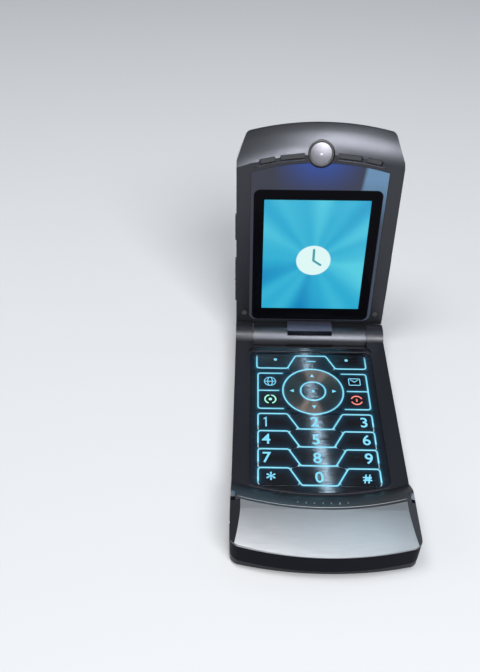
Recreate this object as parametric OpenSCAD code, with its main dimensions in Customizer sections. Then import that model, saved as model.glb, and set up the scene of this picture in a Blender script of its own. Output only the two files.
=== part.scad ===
// Clamshell mobile phone, standing open.
// The base lies on its back: +X is the phone's right, +Y runs from the chin to the hinge,
// +Z comes out of the keypad. The origin is the centre of the base's back face.
// The lid is described closed and then swung open about the hinge axis.

/* [Overall] */
// Width of the base and of the lid
body_w = 53; // [50:0.5:64]
// Length of the closed phone, chin end to the back of the hinge
body_len = 98; // [94:1:118]
// Thickness of the closed phone at the chin
closed_t = 13.9; // [13.4:0.1:16.7]
// Thickness of the base under the keypad
base_t = 8; // [7.6:0.1:9]
// Wall thickness of the housings
wall = 1.1; // [0.9:0.05:1.3]
// Visible gap between two housing parts
seam = 0.12; // [0.08:0.01:0.2]
// Radius of the long edges on the back and on the lid
edge_r = 2.2; // [1.6:0.1:2.4]

/* [Hinge] */
// Height of the hinge axis above the back
axis_z = 5.4; // [5.3:0.05:5.8]
// Radius of the lid's hinge barrel
barrel_r = 5.25; // [4.8:0.05:5.3]
// Radius of the base's hinge knuckles
knuckle_r = 5.3; // [4.9:0.05:5.3]
// Width of one hinge knuckle
knuckle_w = 6.15; // [5:0.05:8]
// Gap between the barrel's ends and the knuckles
knuckle_gap = 0.15; // [0.1:0.05:0.3]
// Gap between the barrel and the saddle in the base
saddle_gap = 0.35; // [0.3:0.05:0.5]
// Radius of the hinge shaft
shaft_r = 1.6; // [1.2:0.1:1.8]
// Radius of the spring cartridge in the barrel
cartridge_r = 3.1; // [2.8:0.1:3.4]
// Radial running clearance of the shaft
run_fit = 0.05; // [0.03:0.01:0.1]
// Angle of the lid from closed
open_angle = 95; // [0:1:162]

/* [Lid] */
// Air gap between the closed lid and the base
lid_gap = 0.3; // [0.25:0.05:0.5]
// Depth of the lid's inner frame
frame_t = 2.3; // [2:0.1:2.6]
// Thickness of the lid's face plates
plate_t = 0.9; // [0.7:0.05:1]
// Radius of the lid's corners at the tip
tip_corner_r = 2.6; // [2:0.1:4]
// Width cut from each side of the lid's tip by its shoulder
shoulder_w = 3.2; // [2:0.1:4]
// Length of the lid's shoulders
shoulder_l = 8.4; // [6:0.1:10]
// Width of the main picture
screen_w = 34.9; // [30:0.1:36]
// Height of the main picture
screen_h = 43.6; // [36:0.1:44]
// Distance from the hinge axis to the main picture
screen_u = 10.9; // [9.5:0.1:12]
// Radius of the round badge over the screen
badge_r = 4.1; // [3:0.1:4.4]
// Width of the outer picture window
outer_w = 20; // [16:0.5:24]
// Height of the outer picture window
outer_h = 17; // [12:0.5:20]
// Distance from the hinge axis to the outer window
outer_u = 24; // [20:0.5:28]

/* [Chin] */
// Length of the chin cover on the centre line
chin_len = 13.8; // [12:0.1:17]
// Radius of the chin's corners seen from above
chin_corner_r = 3.5; // [2:0.25:6]
// Radius of the seam between slope and chin
seam_r = 88; // [70:1:110]
// Radius of the chin's end
end_r = 95; // [75:1:120]
// Run of the slope between keypad and chin
slope_run = 8.6; // [7.2:0.1:10.3]
// Radius of the slope's swell
slope_r = 18; // [12:0.5:24]
// Step from the slope up to the chin cover
chin_step = 0.8; // [0.6:0.05:1]
// Length of the curve on the back of the chin
chin_back_len = 14.5; // [12:0.5:18]
// Radius of the curve on the back of the chin
chin_back_r = 50; // [42:1:60]
// Radius of the chin cover from seam to end
chin_front_r = 80; // [66:1:96]
// Depth of the chin cover's bevelled sides
bevel_z = 2.3; // [1.8:0.1:2.6]
// Width of the chin cover's bevelled sides
bevel_x = 2.9; // [2.2:0.1:3.4]

/* [Side bands] */
// Thickness of the bright side bands
band_t = 1.3; // [1:0.1:1.5]
// Height of the split between front and rear housing
split_z = 4.6; // [4.4:0.05:4.8]
// Height of the bright bands
band_h = 2.4; // [2:0.1:2.6]

/* [Keypad] */
// Margin between the phone's side and the keypad sheet
pad_margin = 4.9; // [4.4:0.1:6]
// Thickness of the keypad sheet and the keys
pad_t = 0.45; // [0.35:0.05:0.5]
// Depth of the keypad below the rim
pad_recess = 0.3; // [0.2:0.05:0.4]
// Gap between neighbouring keys
key_gap = 0.4; // [0.3:0.05:0.5]
// Travel of a key
key_travel = 0.25; // [0.15:0.05:0.25]
// Outer radius of the four-way ring
nav_r = 10.05; // [8:0.05:11]
// Radius of the select key
select_r = 4.25; // [3:0.05:5]
// Distance from the hinge axis to the middle of the ring
nav_to_hinge = 28.4; // [27.5:0.1:34]
// Drop of the middle keys below their neighbours
row_drop = 6.3; // [5:0.1:7]

/* [Battery] */
// Width of the battery
battery_w = 40; // [34:0.5:42]
// Length of the battery
battery_l = 44; // [36:0.5:50]
// Depth of the lips of the battery door
door_lip = 2.4; // [2.3:0.1:2.8]
// Thickness of the battery door
door_t = 0.85; // [0.7:0.05:1]
// Thickness of the battery
battery_t = 3.3; // [2.8:0.1:3.5]

/* [Side parts] */
// Length of the volume rocker
rocker_l = 18; // [14:0.5:20]
// Length of the smart key
smart_l = 10; // [8:0.5:12]
// Length of the voice key
voice_l = 18; // [14:0.5:20]
// Height of the side keys
side_key_h = 1.9; // [1.6:0.1:2.2]
// Height by which the side keys stand proud
side_key_proud = 0.4; // [0.3:0.05:0.6]
// Width of the data socket
usb_w = 7.7; // [7:0.1:8.4]
// Height of the data socket
usb_h = 3.9; // [3.4:0.1:4.2]

/* [Hidden] */
$fn = 64;
round_fn = 96;
eps = 0.01;
fit = 0.1;
half_w = body_w / 2;
half_len = body_len / 2;
hinge_y = half_len - knuckle_r;
chin_y = -half_len;
seam_y = chin_y + chin_len;
seam_cy = seam_y + seam_r;
slope_y = seam_y + slope_run;
slope_top = closed_t - chin_step;
tip_r = seam_r - lid_gap;
chin_lead = 4;
barrel_half = half_w - knuckle_w - knuckle_gap;
saddle_r = barrel_r + saddle_gap;
knuckle_clear = 0.25;

// slope arc between the keypad rim and the chin, as (radius from the seam centre, height)
slope_a = [seam_cy - slope_y, base_t];
slope_b = [seam_r, slope_top];
slope_chord = slope_b - slope_a;
slope_half = norm(slope_chord) / 2;
slope_sag = sqrt(slope_r * slope_r - slope_half * slope_half);
slope_n = [slope_chord[1], -slope_chord[0]] / norm(slope_chord);
slope_c = (slope_a + slope_b) / 2 + slope_n * slope_sag;

// heights in the base, from the battery door up to the keys
board_t = 0.7;
sheet_t = 0.15;
dome_h = 0.3;
glow_t = 0.25;
pad_z1 = base_t - pad_recess;
pad_z0 = pad_z1 - pad_t;
glow_z1 = base_t - wall - 0.05;
glow_z0 = glow_z1 - glow_t;
dome_z1 = glow_z0 - 0.05;
sheet_z1 = dome_z1 - dome_h;
board_z1 = sheet_z1 - sheet_t;
board_z0 = board_z1 - board_t;
cover_z = closed_t - bevel_z;

// keypad layout
pad_half = half_w - pad_margin;
pad_r = seam_cy - slope_y - 0.7;
nav_y = hinge_y - nav_to_hinge;
pad_top = nav_y + 18.7;
pad_bottom = seam_cy - pad_r;
field_x = pad_half - 3.1;
wing_x = 9;
foot_x = 5.4;
block_h = 8;
soft_y = nav_y + 10.5;
soft_top = nav_y + 17.6;
menu_y = nav_y + 16.6;
row_top = nav_y - 10.2;
rows_bottom = seam_cy - sqrt(pad_r * pad_r - field_x * field_x) + 0.9;
row_pitch = (row_top - row_drop - rows_bottom) / 3;
key_r = 1.0;
nub_r = 1.2;
nub_h = 0.4;
nav_nub_r = 7.3;
gimbal_r0 = 5.0;
gimbal_r1 = 6.1;

// lid heights, closed
lid_z0 = base_t + lid_gap;
lid_split = lid_z0 + frame_t;
floor_t = 1.1;
lid_in0 = lid_z0 + floor_t;
lid_in1 = closed_t - plate_t;
lid_wall = 1.3;
heel_u = 9.5;
heel_r = closed_t - axis_z - 0.2;
tip_u = hinge_y - (seam_cy - tip_r);
foot_u = hinge_y - slope_y;
badge_u = foot_u - 0.3;
badge_t = 0.35;
badge_dome = 0.5;
badge_dome_r = (badge_r * badge_r + badge_dome * badge_dome) / (2 * badge_dome);
window_half = pad_half + 0.4;
window_u0 = 6;
arch_u = badge_u - 2.5;
arch_r = 75;
slot_h = 1.7;
window_t = 0.5;
screen_border = 3.4;
side_key_z = lid_split + 0.1;
flange_t = 0.5;
flange_lip = 0.3;
flange_back = 0.35;
rocker_u = 22;
smart_u = 43;
voice_u = 23;
camera_u = 14.5;
panel_u0 = outer_u - 2.5;
panel_u1 = 56;
skin_t = 0.6;
camera_r = 2.6;
tongue_half = 8;
tongue_t = 0.85;

// back of the base
door_y0 = -9;
door_y1 = hinge_y - 7.2;
door_slant = 2;
battery_z0 = door_t + 0.1;
battery_z1 = battery_z0 + battery_t;
battery_y1 = door_y1 - 1.6;
latch_w = 9;
latch_l = 2.6;
usb_y = chin_y + 19;
usb_z = 3.2;
usb_len = 8.5;
trim_w = usb_w + 3;
trim_h = usb_h + 1.2;

// ---- helpers ----

function at_u(u) = hinge_y - u;

// extrudes a (y, z) outline along X, centred
module along_x(len) { rotate([90, 0, 90]) linear_extrude(len, center = true) children(); }

// extrudes an (x, z) outline along Y, centred
module along_y(len) { rotate([90, 0, 0]) linear_extrude(len, center = true) children(); }

// swings the closed lid open
module swing() {
    translate([0, hinge_y, axis_z]) rotate([-open_angle, 0, 0])
        translate([0, -hinge_y, -axis_z]) children();
}

// a rod along X between two places on the hinge axis
module rod(x0, x1, r) {
    translate([x0, hinge_y, axis_z]) rotate([0, 90, 0]) cylinder(h = x1 - x0, r = r);
}

module both_sides() { for (s = [-1, 1]) scale_x(s) children(); }
module scale_x(s) { if (s < 0) mirror([1, 0, 0]) children(); else children(); }

module slab_box(x0, x1, y0, y1, z0, z1) { translate([x0, y0, z0]) cube([x1 - x0, y1 - y0, z1 - z0]); }

module round_rect(w, h, r) {
    square([w - 2 * r, h], center = true);
    square([w, h - 2 * r], center = true);
    for (x = [-1, 1], y = [-1, 1]) translate([x * (w / 2 - r), y * (h / 2 - r)]) circle(r);
}

// a bar with round ends, long way along the first axis
module stadium(l, h) {
    square([l - h, h], center = true);
    for (x = [-1, 1]) translate([x * (l - h) / 2, 0]) circle(h / 2, $fn = 32);
}

// outline with straight sides, round corners and a bowed end towards -Y
module bowed_plan(r, cy, corner, top, inset) {
    reach = r - corner;
    side = half_w - corner;
    corner_y = cy - sqrt(reach * reach - side * side);
    translate([-half_w + inset, corner_y]) square([2 * (half_w - inset), top - corner_y]);
    for (x = [-1, 1]) translate([x * side, corner_y]) circle(corner - inset, $fn = round_fn);
    intersection() {
        translate([0, cy]) circle(r - inset, $fn = 4 * round_fn);
        polygon([[0, cy], 2 * [-side, corner_y] - [0, cy], 2 * [side, corner_y] - [0, cy]]);
        translate([-half_w, cy - r - 1]) square([body_w, top - cy + r + 1]);
    }
}

// points of a smooth step between two levels, as (y, z)
function s_curve(p0, p1, p2, p3) = [for (i = [0:12]) let (t = i / 12, s = 1 - t)
    s * s * s * p0 + 3 * s * s * t * p1 + 3 * s * t * t * p2 + t * t * t * p3];

// ---- outer form of the base ----

module base_plan(inset = 0) { bowed_plan(end_r, chin_y + end_r, chin_corner_r, hinge_y - 1, inset); }

// slope and chin in the plane through the seam's centre, as (radius, height)
module slope_section(grow = 0) {
    intersection() {
        translate([slope_a[0] - 6, 0]) square([60, closed_t]);
        union() {
            translate(slope_c) circle(slope_r + grow, $fn = 2 * round_fn);
            translate([seam_r - grow, 0]) square([60, closed_t]);
        }
    }
}

module around_seam() { translate([0, seam_cy, 0]) rotate_extrude($fn = 4 * round_fn) children(); }

module seam_disc(r) { translate([0, seam_cy, -1]) cylinder(h = closed_t + 2, r = r, $fn = 4 * round_fn); }

// side view of the base: curved back of the chin and falling chin cover
module base_side() {
    intersection() {
        union() {
            translate([chin_y + chin_back_len, 0]) square([body_len, closed_t]);
            intersection() {
                translate([chin_y + chin_back_len + chin_lead, sqrt(pow(chin_back_r, 2) - pow(chin_lead, 2))])
                    circle(chin_back_r, $fn = 4 * round_fn);
                translate([chin_y - 1, 0]) square([chin_back_len + 1 + eps, closed_t]);
            }
        }
        union() {
            translate([seam_y, 0]) square([body_len, closed_t]);
            intersection() {
                translate([seam_y + chin_lead, closed_t - sqrt(pow(chin_front_r, 2) - pow(chin_lead, 2))])
                    circle(chin_front_r, $fn = 4 * round_fn);
                translate([chin_y - 1, 0]) square([chin_len + 1 + eps, closed_t]);
            }
        }
    }
}

// cross-section of the base: round back edges and bevelled chin
module base_cross(inset = 0) {
    w = half_w - inset;
    translate([-w, edge_r]) square([2 * w, cover_z - edge_r]);
    translate([-w + edge_r, inset]) square([2 * (w - edge_r), edge_r]);
    for (x = [-1, 1]) translate([x * (w - edge_r + inset), edge_r]) circle(edge_r - inset);
    polygon([[-w, cover_z - eps], [w, cover_z - eps],
        [w - bevel_x, closed_t - inset], [-w + bevel_x, closed_t - inset]]);
}

module base_block() {
    intersection() {
        linear_extrude(closed_t) base_plan();
        union() {
            slab_box(-half_w, half_w, chin_y - 1, hinge_y, 0, base_t);
            around_seam() slope_section();
        }
        along_x(body_w + 2) base_side();
        along_y(2 * body_len) base_cross();
    }
}

// edge of the rear housing along the sides, rising to the seam
rise_curve = s_curve([at_seam_side(2.2), closed_t], [at_seam_side(5.5), 7.6],
    [at_seam_side(8), split_z], [at_seam_side(18), split_z]);
// upper edge of the bright bands, rising to the slope
band_curve = s_curve([at_seam_side(4.6), slope_top], [at_seam_side(7.2), 8.6],
    [at_seam_side(9.5), split_z + band_h], [at_seam_side(16), split_z + band_h]);
function at_seam_side(d) = seam_cy - sqrt(seam_r * seam_r - half_w * half_w) - 2.2 + d;

// (y, z) area above a rising curve
module above(curve) {
    last = curve[len(curve) - 1];
    polygon(concat([[hinge_y + 9, closed_t + 1], [curve[0][0], closed_t + 1]], curve,
        [[hinge_y + 9, last[1]]]));
}

// (y, z) area between the rear housing's edge and the band's upper edge
module band_area() {
    difference() {
        above(rise_curve);
        above(band_curve);
    }
}

// outer skin of the sides, as deep as the bands
module skin(depth) {
    difference() {
        linear_extrude(closed_t) base_plan();
        translate([0, 0, -1]) linear_extrude(closed_t + 2) base_plan(depth);
    }
}

module usb_cell(grow = 0) {
    translate([-half_w, usb_y, usb_z]) rotate([90, 0, 90])
        linear_extrude(2 * (band_t + grow), center = true)
            round_rect(trim_w + 2 * grow, trim_h + 2 * grow, 1.4);
}

module usb_bore() {
    slab_box(-half_w - 1, -half_w + usb_len + 1, usb_y - usb_w / 2 - fit, usb_y + usb_w / 2 + fit,
        usb_z - usb_h / 2 - fit, usb_z + usb_h / 2 + fit);
}

// room for the tongue that bridges the lid's barrel
module tongue_room() { rod(-tongue_half - 0.5, tongue_half + 0.5, barrel_r + tongue_t + saddle_gap); }

// ---- base housings ----

module pad_outline(inset = 0) {
    intersection() {
        translate([0, seam_cy]) circle(pad_r - inset, $fn = 4 * round_fn);
        translate([0, (pad_top + pad_bottom) / 2 + 1])
            round_rect(2 * (pad_half - inset), pad_top - pad_bottom + 2 - 2 * inset, 2);
    }
}

module front_housing() {
    color("dimgray") difference() {
        union() {
            intersection() {
                base_block();
                seam_disc(seam_r - seam / 2);
                slab_box(-half_w, half_w, chin_y, hinge_y - 3, split_z + seam / 2, closed_t);
                union() {
                    linear_extrude(closed_t) base_plan(band_t + seam);
                    along_x(body_w) above(band_curve);
                }
            }
            both_sides() rod(half_w - knuckle_w, half_w, knuckle_r);
        }
        // hollow under the keypad
        slab_box(-half_w + band_t + seam + wall, half_w - band_t - seam - wall,
            slope_y - 1, hinge_y - 8.2, split_z - 1, base_t - wall);
        // hollow of the slope
        intersection() {
            around_seam() slope_section(-wall);
            seam_disc(seam_r - wall);
            linear_extrude(closed_t) base_plan(band_t + seam + wall);
            slab_box(-half_w, half_w, chin_y, slope_y, 0, slope_top - wall);
        }
        translate([0, 0, pad_z0]) linear_extrude(closed_t) pad_outline();
        translate([0, 0, base_t - 2 * wall]) linear_extrude(closed_t) pad_outline(1);
        rod(-barrel_half - knuckle_gap, barrel_half + knuckle_gap, saddle_r);
        tongue_room();
        // valley in front of the barrel
        along_x(2 * (barrel_half + knuckle_gap)) polygon([[pad_top + 1.5, base_t],
            [pad_top + 1.5, base_t + 1], [hinge_y, base_t + 1], [hinge_y, axis_z - 1.8]]);
        both_sides() rod(half_w - 0.9, half_w + 1, cap_r + fit);
        rod(half_w - knuckle_w - 1, half_w, shaft_r + 0.02);
        rod(-half_w, -half_w + knuckle_w + 1, bush_r + 0.02);
        usb_cell(seam);
        usb_bore();
        slope_grooves();
    }
}
cap_r = 4.6;
cap_t = 0.8;
bush_r = 2.6;

// seven short grooves that run up the slope, with the microphone's port in the middle one
module slope_grooves() {
    run = groove_at - slope_c[0];
    out = [run, sqrt(slope_r * slope_r - run * run)] / slope_r;
    middle = slope_c + out * (slope_r + groove_r - groove_d);
    for (i = [-3:3]) translate([0, seam_cy, 0]) rotate(i * groove_pitch * 180 / PI / groove_at)
        translate([0, -middle[0], middle[1]]) rotate([0, 90, 0])
            cylinder(h = groove_w, r = groove_r, center = true);
    translate([0, seam_cy - groove_at, base_t]) cylinder(h = 6, r = 0.3, $fn = 16);
}
groove_at = seam_r - 3.7;
groove_pitch = 2.4;
groove_r = 2.6;
groove_d = 0.35;
groove_w = 0.7;

module side_bands() {
    color("silver") difference() {
        intersection() {
            base_block();
            skin(band_t);
            along_x(body_w + 1) offset(delta = -seam / 2) band_area();
            seam_disc(seam_r - seam / 2);
            slab_box(-half_w, half_w, chin_y, hinge_y - 1, 0, closed_t);
        }
        rod(-half_w - 1, half_w + 1, knuckle_r + seam);
        usb_cell(seam);
    }
}

// shell of the battery door, grown for the cut in the rear housing
module door_form(grow = 0) {
    difference() {
        along_x(body_w + 2) polygon([[door_y0 - door_slant - grow, -1], [door_y0 - grow, door_lip + grow],
            [door_y1 + grow, door_lip + grow], [door_y1 + grow, -1]]);
        slab_box(-half_w + wall + grow, half_w - wall - grow, door_y0 - 9, door_y1 + 9,
            door_t + grow, door_lip + 1);
    }
}

module battery_bay() {
    slab_box(-battery_w / 2 - 0.2, battery_w / 2 + 0.2, battery_y1 - battery_l - 0.2, battery_y1 + 0.2,
        -1, closed_t);
}

module rear_housing() {
    color("slategray") difference() {
        intersection() {
            base_block();
            slab_box(-half_w, half_w, chin_y, hinge_y - 3, 0, split_z - seam / 2);
        }
        door_form(seam);
        battery_bay();
        rod(-half_w - 1, half_w + 1, saddle_r);
        tongue_room();
        // channels beside the battery
        both_sides() slab_box(battery_w / 2 + 0.2 + wall, half_w - 2 * wall - seam,
            battery_y1 - battery_l, battery_y1, door_t + seam + wall, split_z + 1);
        // tray under the chin and the lower board
        intersection() {
            along_x(body_w) tray_side();
            linear_extrude(closed_t) base_plan(2 * wall);
        }
        latch_pocket();
        usb_cell(seam);
        usb_bore();
    }
}

module tray_side() {
    floor_z = wall + 0.3;
    polygon([[battery_y1 - battery_l - 0.2 - wall, floor_z], [chin_y + chin_back_len - 1.5, floor_z],
        [chin_y + 1, split_z - 0.4], [chin_y + 1, split_z + 1], [battery_y1 - battery_l - 0.2 - wall, split_z + 1]]);
}

module latch_pocket() {
    slab_box(-latch_w / 2 - fit, latch_w / 2 + fit, door_y0 - door_slant - seam - latch_l - 1.4,
        door_y0 - door_slant, -1, 0.95);
}

module door_latch() {
    y1 = door_y0 - door_slant - seam - fit;
    color("dimgray") difference() {
        slab_box(-latch_w / 2, latch_w / 2, y1 - latch_l, y1, 0.1, 0.9);
        for (i = [-2:2]) translate([i * 1.4, y1 - latch_l / 2, 0]) cylinder(h = 0.35, r = 0.4, $fn = 16);
    }
}

module battery_door() {
    color("darkgray") intersection() {
        base_block();
        door_form();
    }
}

module battery() {
    color("gainsboro") translate([0, battery_y1 - battery_l / 2, battery_z0])
        linear_extrude(battery_z1 - battery_z0) round_rect(battery_w, battery_l, 1.5);
}

module chin_frame() {
    color("darkslategray") difference() {
        union() {
            difference() {
                intersection() {
                    base_block();
                    slab_box(-half_w, half_w, chin_y, 0, split_z + seam / 2, cover_z - seam / 2);
                }
                seam_disc(seam_r + seam / 2);
            }
            // flanks that follow the rising edge of the bands
            intersection() {
                base_block();
                skin(band_t);
                slab_box(-half_w, half_w, chin_y, slope_y + 6, split_z + seam / 2, cover_z - seam / 2);
                along_x(body_w + 1) offset(delta = -seam / 2) difference() {
                    translate([chin_y - 1, 0]) square([half_len, closed_t]);
                    above(rise_curve);
                }
            }
        }
        usb_bore();
        // hollow between the end wall and the seam wall
        difference() {
            translate([0, 0, split_z - 1]) linear_extrude(closed_t) base_plan(wall);
            seam_disc(seam_r + seam / 2 + wall);
            slab_box(-half_w, half_w, seam_y + 2, 0, 0, closed_t);
        }
        usb_cell(seam);
    }
}

module chin_cover() {
    color("silver") difference() {
        intersection() {
            base_block();
            slab_box(-half_w, half_w, chin_y, 0, cover_z + seam / 2, closed_t);
        }
        seam_disc(seam_r + seam / 2);
        // shallow hollow under the cover
        difference() {
            slab_box(-half_w + bevel_x + 1, half_w - bevel_x - 1, chin_y + 5, seam_y + 2, 0, closed_t - 1.3);
            seam_disc(seam_r + seam / 2 + plate_t);
        }
    }
}

// disc with a shallow polished dish
module hinge_cap_left() {
    dish_r = 16;
    dish_d = 0.5;
    color("silver") translate([-half_w + 0.85, hinge_y, axis_z]) rotate([0, -90, 0])
        rotate_extrude($fn = round_fn) difference() {
            square([cap_r, cap_t]);
            translate([0, cap_t - dish_d + dish_r]) circle(dish_r, $fn = 4 * round_fn);
        }
}

module hinge_cap_right() {
    color("silver") {
        rod(half_w - 0.85, half_w - 0.6, cap_r);
        difference() {
            rod(half_w - 0.6 - eps, half_w - 0.05, cap_r);
            rod(half_w - 1, half_w, cap_r - 0.9);
        }
        intersection() {
            rod(half_w - 0.6 - eps, half_w - 0.15, cap_r - 0.5);
            slab_box(half_w - 1, half_w, hinge_y - cap_r, hinge_y + cap_r, axis_z - 0.7, axis_z + 0.7);
        }
    }
}

// shaft that turns in the cartridge, and hollow bush for the lid's cable
module hinge_pins() {
    color("lightsteelblue") {
        rod(8, half_w - 1, shaft_r);
        difference() {
            rod(-half_w + 1, -13, bush_r);
            rod(-half_w, -12, bush_r - 0.8);
        }
    }
}

// ---- inside the base ----

module board_plan() {
    translate([0, (slope_y + 1.5 + hinge_y - 8.7) / 2])
        round_rect(2 * pad_half + 1.6, hinge_y - 8.7 - slope_y - 1.5, 1.5);
}

module main_board() {
    color("darkgreen") translate([0, 0, board_z0]) linear_extrude(board_t) board_plan();
}

module shield_cans() {
    h = board_z0 - 2;
    color("lightgray") for (p = [[9, 13], [-7, 17]]) {
        translate([p[0], slope_y + 8.5, 2]) linear_extrude(h) round_rect(p[1], 11, 0.8);
    }
}

module dome_sheet() {
    color("beige") {
        translate([0, 0, board_z1]) linear_extrude(sheet_t) offset(delta = -1) board_plan();
        for (p = key_spots()) translate([p[0], p[1], sheet_z1 - eps])
            cylinder(h = dome_h + eps, r1 = 1.9, r2 = 1.1, $fn = 24);
    }
}

module light_sheet() {
    color("deepskyblue") translate([0, 0, glow_z0]) linear_extrude(glow_t) difference() {
        translate([0, (pad_top + pad_bottom) / 2]) square([2 * pad_half + 0.8, pad_top - pad_bottom - 3], center = true);
        for (p = key_spots()) translate(p) circle(nub_r + 0.4, $fn = 24);
        translate([0, nav_y]) circle(nav_nub_r + 1.6);
    }
}

module usb_port() {
    color("lightgray") {
        difference() {
            slab_box(-half_w + 0.3, -half_w + usb_len, usb_y - usb_w / 2, usb_y + usb_w / 2,
                usb_z - usb_h / 2, usb_z + usb_h / 2);
            slab_box(-half_w, -half_w + usb_len - 0.5, usb_y - usb_w / 2 + 0.4, usb_y + usb_w / 2 - 0.4,
                usb_z - usb_h / 2 + 0.4, usb_z + usb_h / 2 - 0.4);
        }
        slab_box(-half_w + 1.4, -half_w + usb_len - 0.4, usb_y - 2.6, usb_y + 2.6, usb_z - 0.4, usb_z + 0.4);
    }
}

module usb_trim() {
    color("silver") difference() {
        usb_cell();
        slab_box(-half_w + band_t - 0.05, 0, chin_y, 0, 0, closed_t);
        slab_box(-half_w - 9, -half_w - 0.25, chin_y, 0, -9, closed_t);
        usb_bore();
        translate([0, 0, -closed_t]) slab_box(-half_w - 2, 0, chin_y, 0, 0, closed_t + 0.3);
    }
}

module antenna() {
    color("goldenrod") intersection() {
        translate([0, 0, split_z + 3.1]) linear_extrude(3.4) base_plan(wall + 0.4);
        slab_box(-17, 17, chin_y, seam_y - wall - 1.5, 0, closed_t);
        along_x(body_w) base_side();
    }
}

module loudspeaker() {
    color("black") translate([8, seam_y - 6.5, split_z]) cylinder(h = 2.8, r = 5.2);
}

module microphone() {
    color("silver") translate([0, seam_cy - groove_at, base_t - 1.2]) cylinder(h = 1.5, r = 2);
}

// flat frame over the battery with a slot for the card
module sim_holder() {
    card = [25, 15];
    z0 = board_z0 - 1.1;
    color("silver") difference() {
        slab_box(-card[0] / 2 - 1, card[0] / 2 + 1, battery_y1 - card[1] - 1, battery_y1, z0, board_z0);
        slab_box(-card[0] / 2 - 0.1, card[0] / 2 + 0.1, battery_y1 - card[1] - 2, battery_y1 - 1, z0 + 0.25, z0 + 1);
        slab_box(-card[0] / 2 + 2, card[0] / 2 - 2, battery_y1 - card[1] - 2, battery_y1 - 6, z0 - 1, z0 + 0.5);
    }
}

// ---- keys ----

// top edge of a number row
function top_of(i) = row_top - i * row_pitch;

// outer key of a number row, on the left for s = -1
function wing_points(s, i) = i < 3
    ? [[s * field_x, top_of(i)], [s * wing_x, top_of(i)], [s * foot_x, top_of(i) - row_drop],
        [s * wing_x, top_of(i + 1)], [s * field_x, top_of(i + 1)]]
    : [[s * field_x, top_of(i)], [s * wing_x, top_of(i)], [s * foot_x, rows_bottom], [s * field_x, rows_bottom]];

// middle key of a number row
function middle_points(i) = concat(
    i == 0 ? [] : [[-foot_x, top_of(i - 1) - row_drop], [foot_x, top_of(i - 1) - row_drop]],
    [[wing_x, top_of(i)], [foot_x, top_of(i) - row_drop], [-foot_x, top_of(i) - row_drop], [-wing_x, top_of(i)]]);

// call keys beside the ring
function block_points(s, y) = [[s * field_x, y], [s * 5, y], [s * 5, y + block_h], [s * field_x, y + block_h]];

function soft_points(s) = [[s * (field_x + 0.4), soft_y], [s * 8.3, soft_y], [s * 5.3, menu_y],
    [s * 5.3, soft_top], [s * (field_x + 0.4), soft_top]];

menu_points = [[-5.3, menu_y], [5.3, menu_y], [8.3, soft_y], [5.3, nav_y + 8.6],
    [-5.3, nav_y + 8.6], [-8.3, soft_y]];

// outline of a key, grown or shrunk by half the gap to its neighbours
module cell(points, grow) {
    difference() {
        offset(r = key_r + grow, $fn = 32) offset(delta = -key_r) polygon(points);
        translate([0, nav_y]) circle(nav_r - grow);
    }
}

function block_spot(s, y) = [s * (field_x - 4.2), y + block_h / 2];
function wing_spot(s, i) = [s * (field_x - 4.6), i < 3 ? top_of(i) - row_pitch / 2 : rows_bottom + 2.7];
function middle_spot(i) = [0, top_of(i) - row_drop / 2 - 0.4];
function soft_spot(s) = [s * 12.5, nav_y + 14.4];
menu_spot = [0, nav_y + 13.2];
function key_spots() = concat(
    [for (s = [-1, 1], y = [nav_y, nav_y - block_h]) block_spot(s, y)],
    [for (s = [-1, 1], i = [0:3]) wing_spot(s, i)],
    [for (i = [0:3]) middle_spot(i)],
    [for (s = [-1, 1]) soft_spot(s)],
    [menu_spot, [0, nav_y]],
    [for (a = [0:90:270]) [nav_nub_r * cos(a), nav_y + nav_nub_r * sin(a)]]);

module key_cap(points, spot) {
    color([0.09, 0.1, 0.13]) {
        translate([0, 0, pad_z0]) linear_extrude(pad_t) cell(points, -key_gap / 2);
        translate([spot[0], spot[1], pad_z0 - nub_h]) cylinder(h = nub_h + eps, r = nub_r, $fn = 24);
    }
}

module key_soft_left() { key_cap(soft_points(-1), soft_spot(-1)); }
module key_soft_right() { key_cap(soft_points(1), soft_spot(1)); }
module key_menu() { key_cap(menu_points, menu_spot); }
module key_browser() { key_cap(block_points(-1, nav_y), block_spot(-1, nav_y)); }
module key_message() { key_cap(block_points(1, nav_y), block_spot(1, nav_y)); }
module key_send() { key_cap(block_points(-1, nav_y - block_h), block_spot(-1, nav_y - block_h)); }
module key_end() { key_cap(block_points(1, nav_y - block_h), block_spot(1, nav_y - block_h)); }
module left_key(i) { key_cap(wing_points(-1, i), wing_spot(-1, i)); }
module middle_key(i) { key_cap(middle_points(i), middle_spot(i)); }
module right_key(i) { key_cap(wing_points(1, i), wing_spot(1, i)); }

module key_select() {
    color([0.09, 0.1, 0.13]) translate([0, nav_y, 0]) {
        translate([0, 0, pad_z0]) cylinder(h = pad_t, r = select_r - key_gap / 2);
        translate([0, 0, pad_z0 - nub_h]) cylinder(h = nub_h + eps, r = nub_r, $fn = 24);
    }
}

module nav_ring() {
    color([0.12, 0.13, 0.16]) translate([0, nav_y, 0]) {
        translate([0, 0, pad_z0]) linear_extrude(pad_t) difference() {
            circle(nav_r - key_gap / 2, $fn = round_fn);
            circle(select_r + key_gap / 2);
        }
        for (a = [0:90:270]) translate([nav_nub_r * cos(a), nav_nub_r * sin(a), pad_z0 - nub_h])
            cylinder(h = nub_h + eps, r = 0.9, $fn = 24);
    }
}

// elastic ring under the four-way ring
module nav_gimbal() {
    color("gray") translate([0, nav_y, pad_z0 - 0.4]) linear_extrude(0.2) difference() {
        circle(gimbal_r1);
        circle(gimbal_r0);
    }
}

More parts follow.
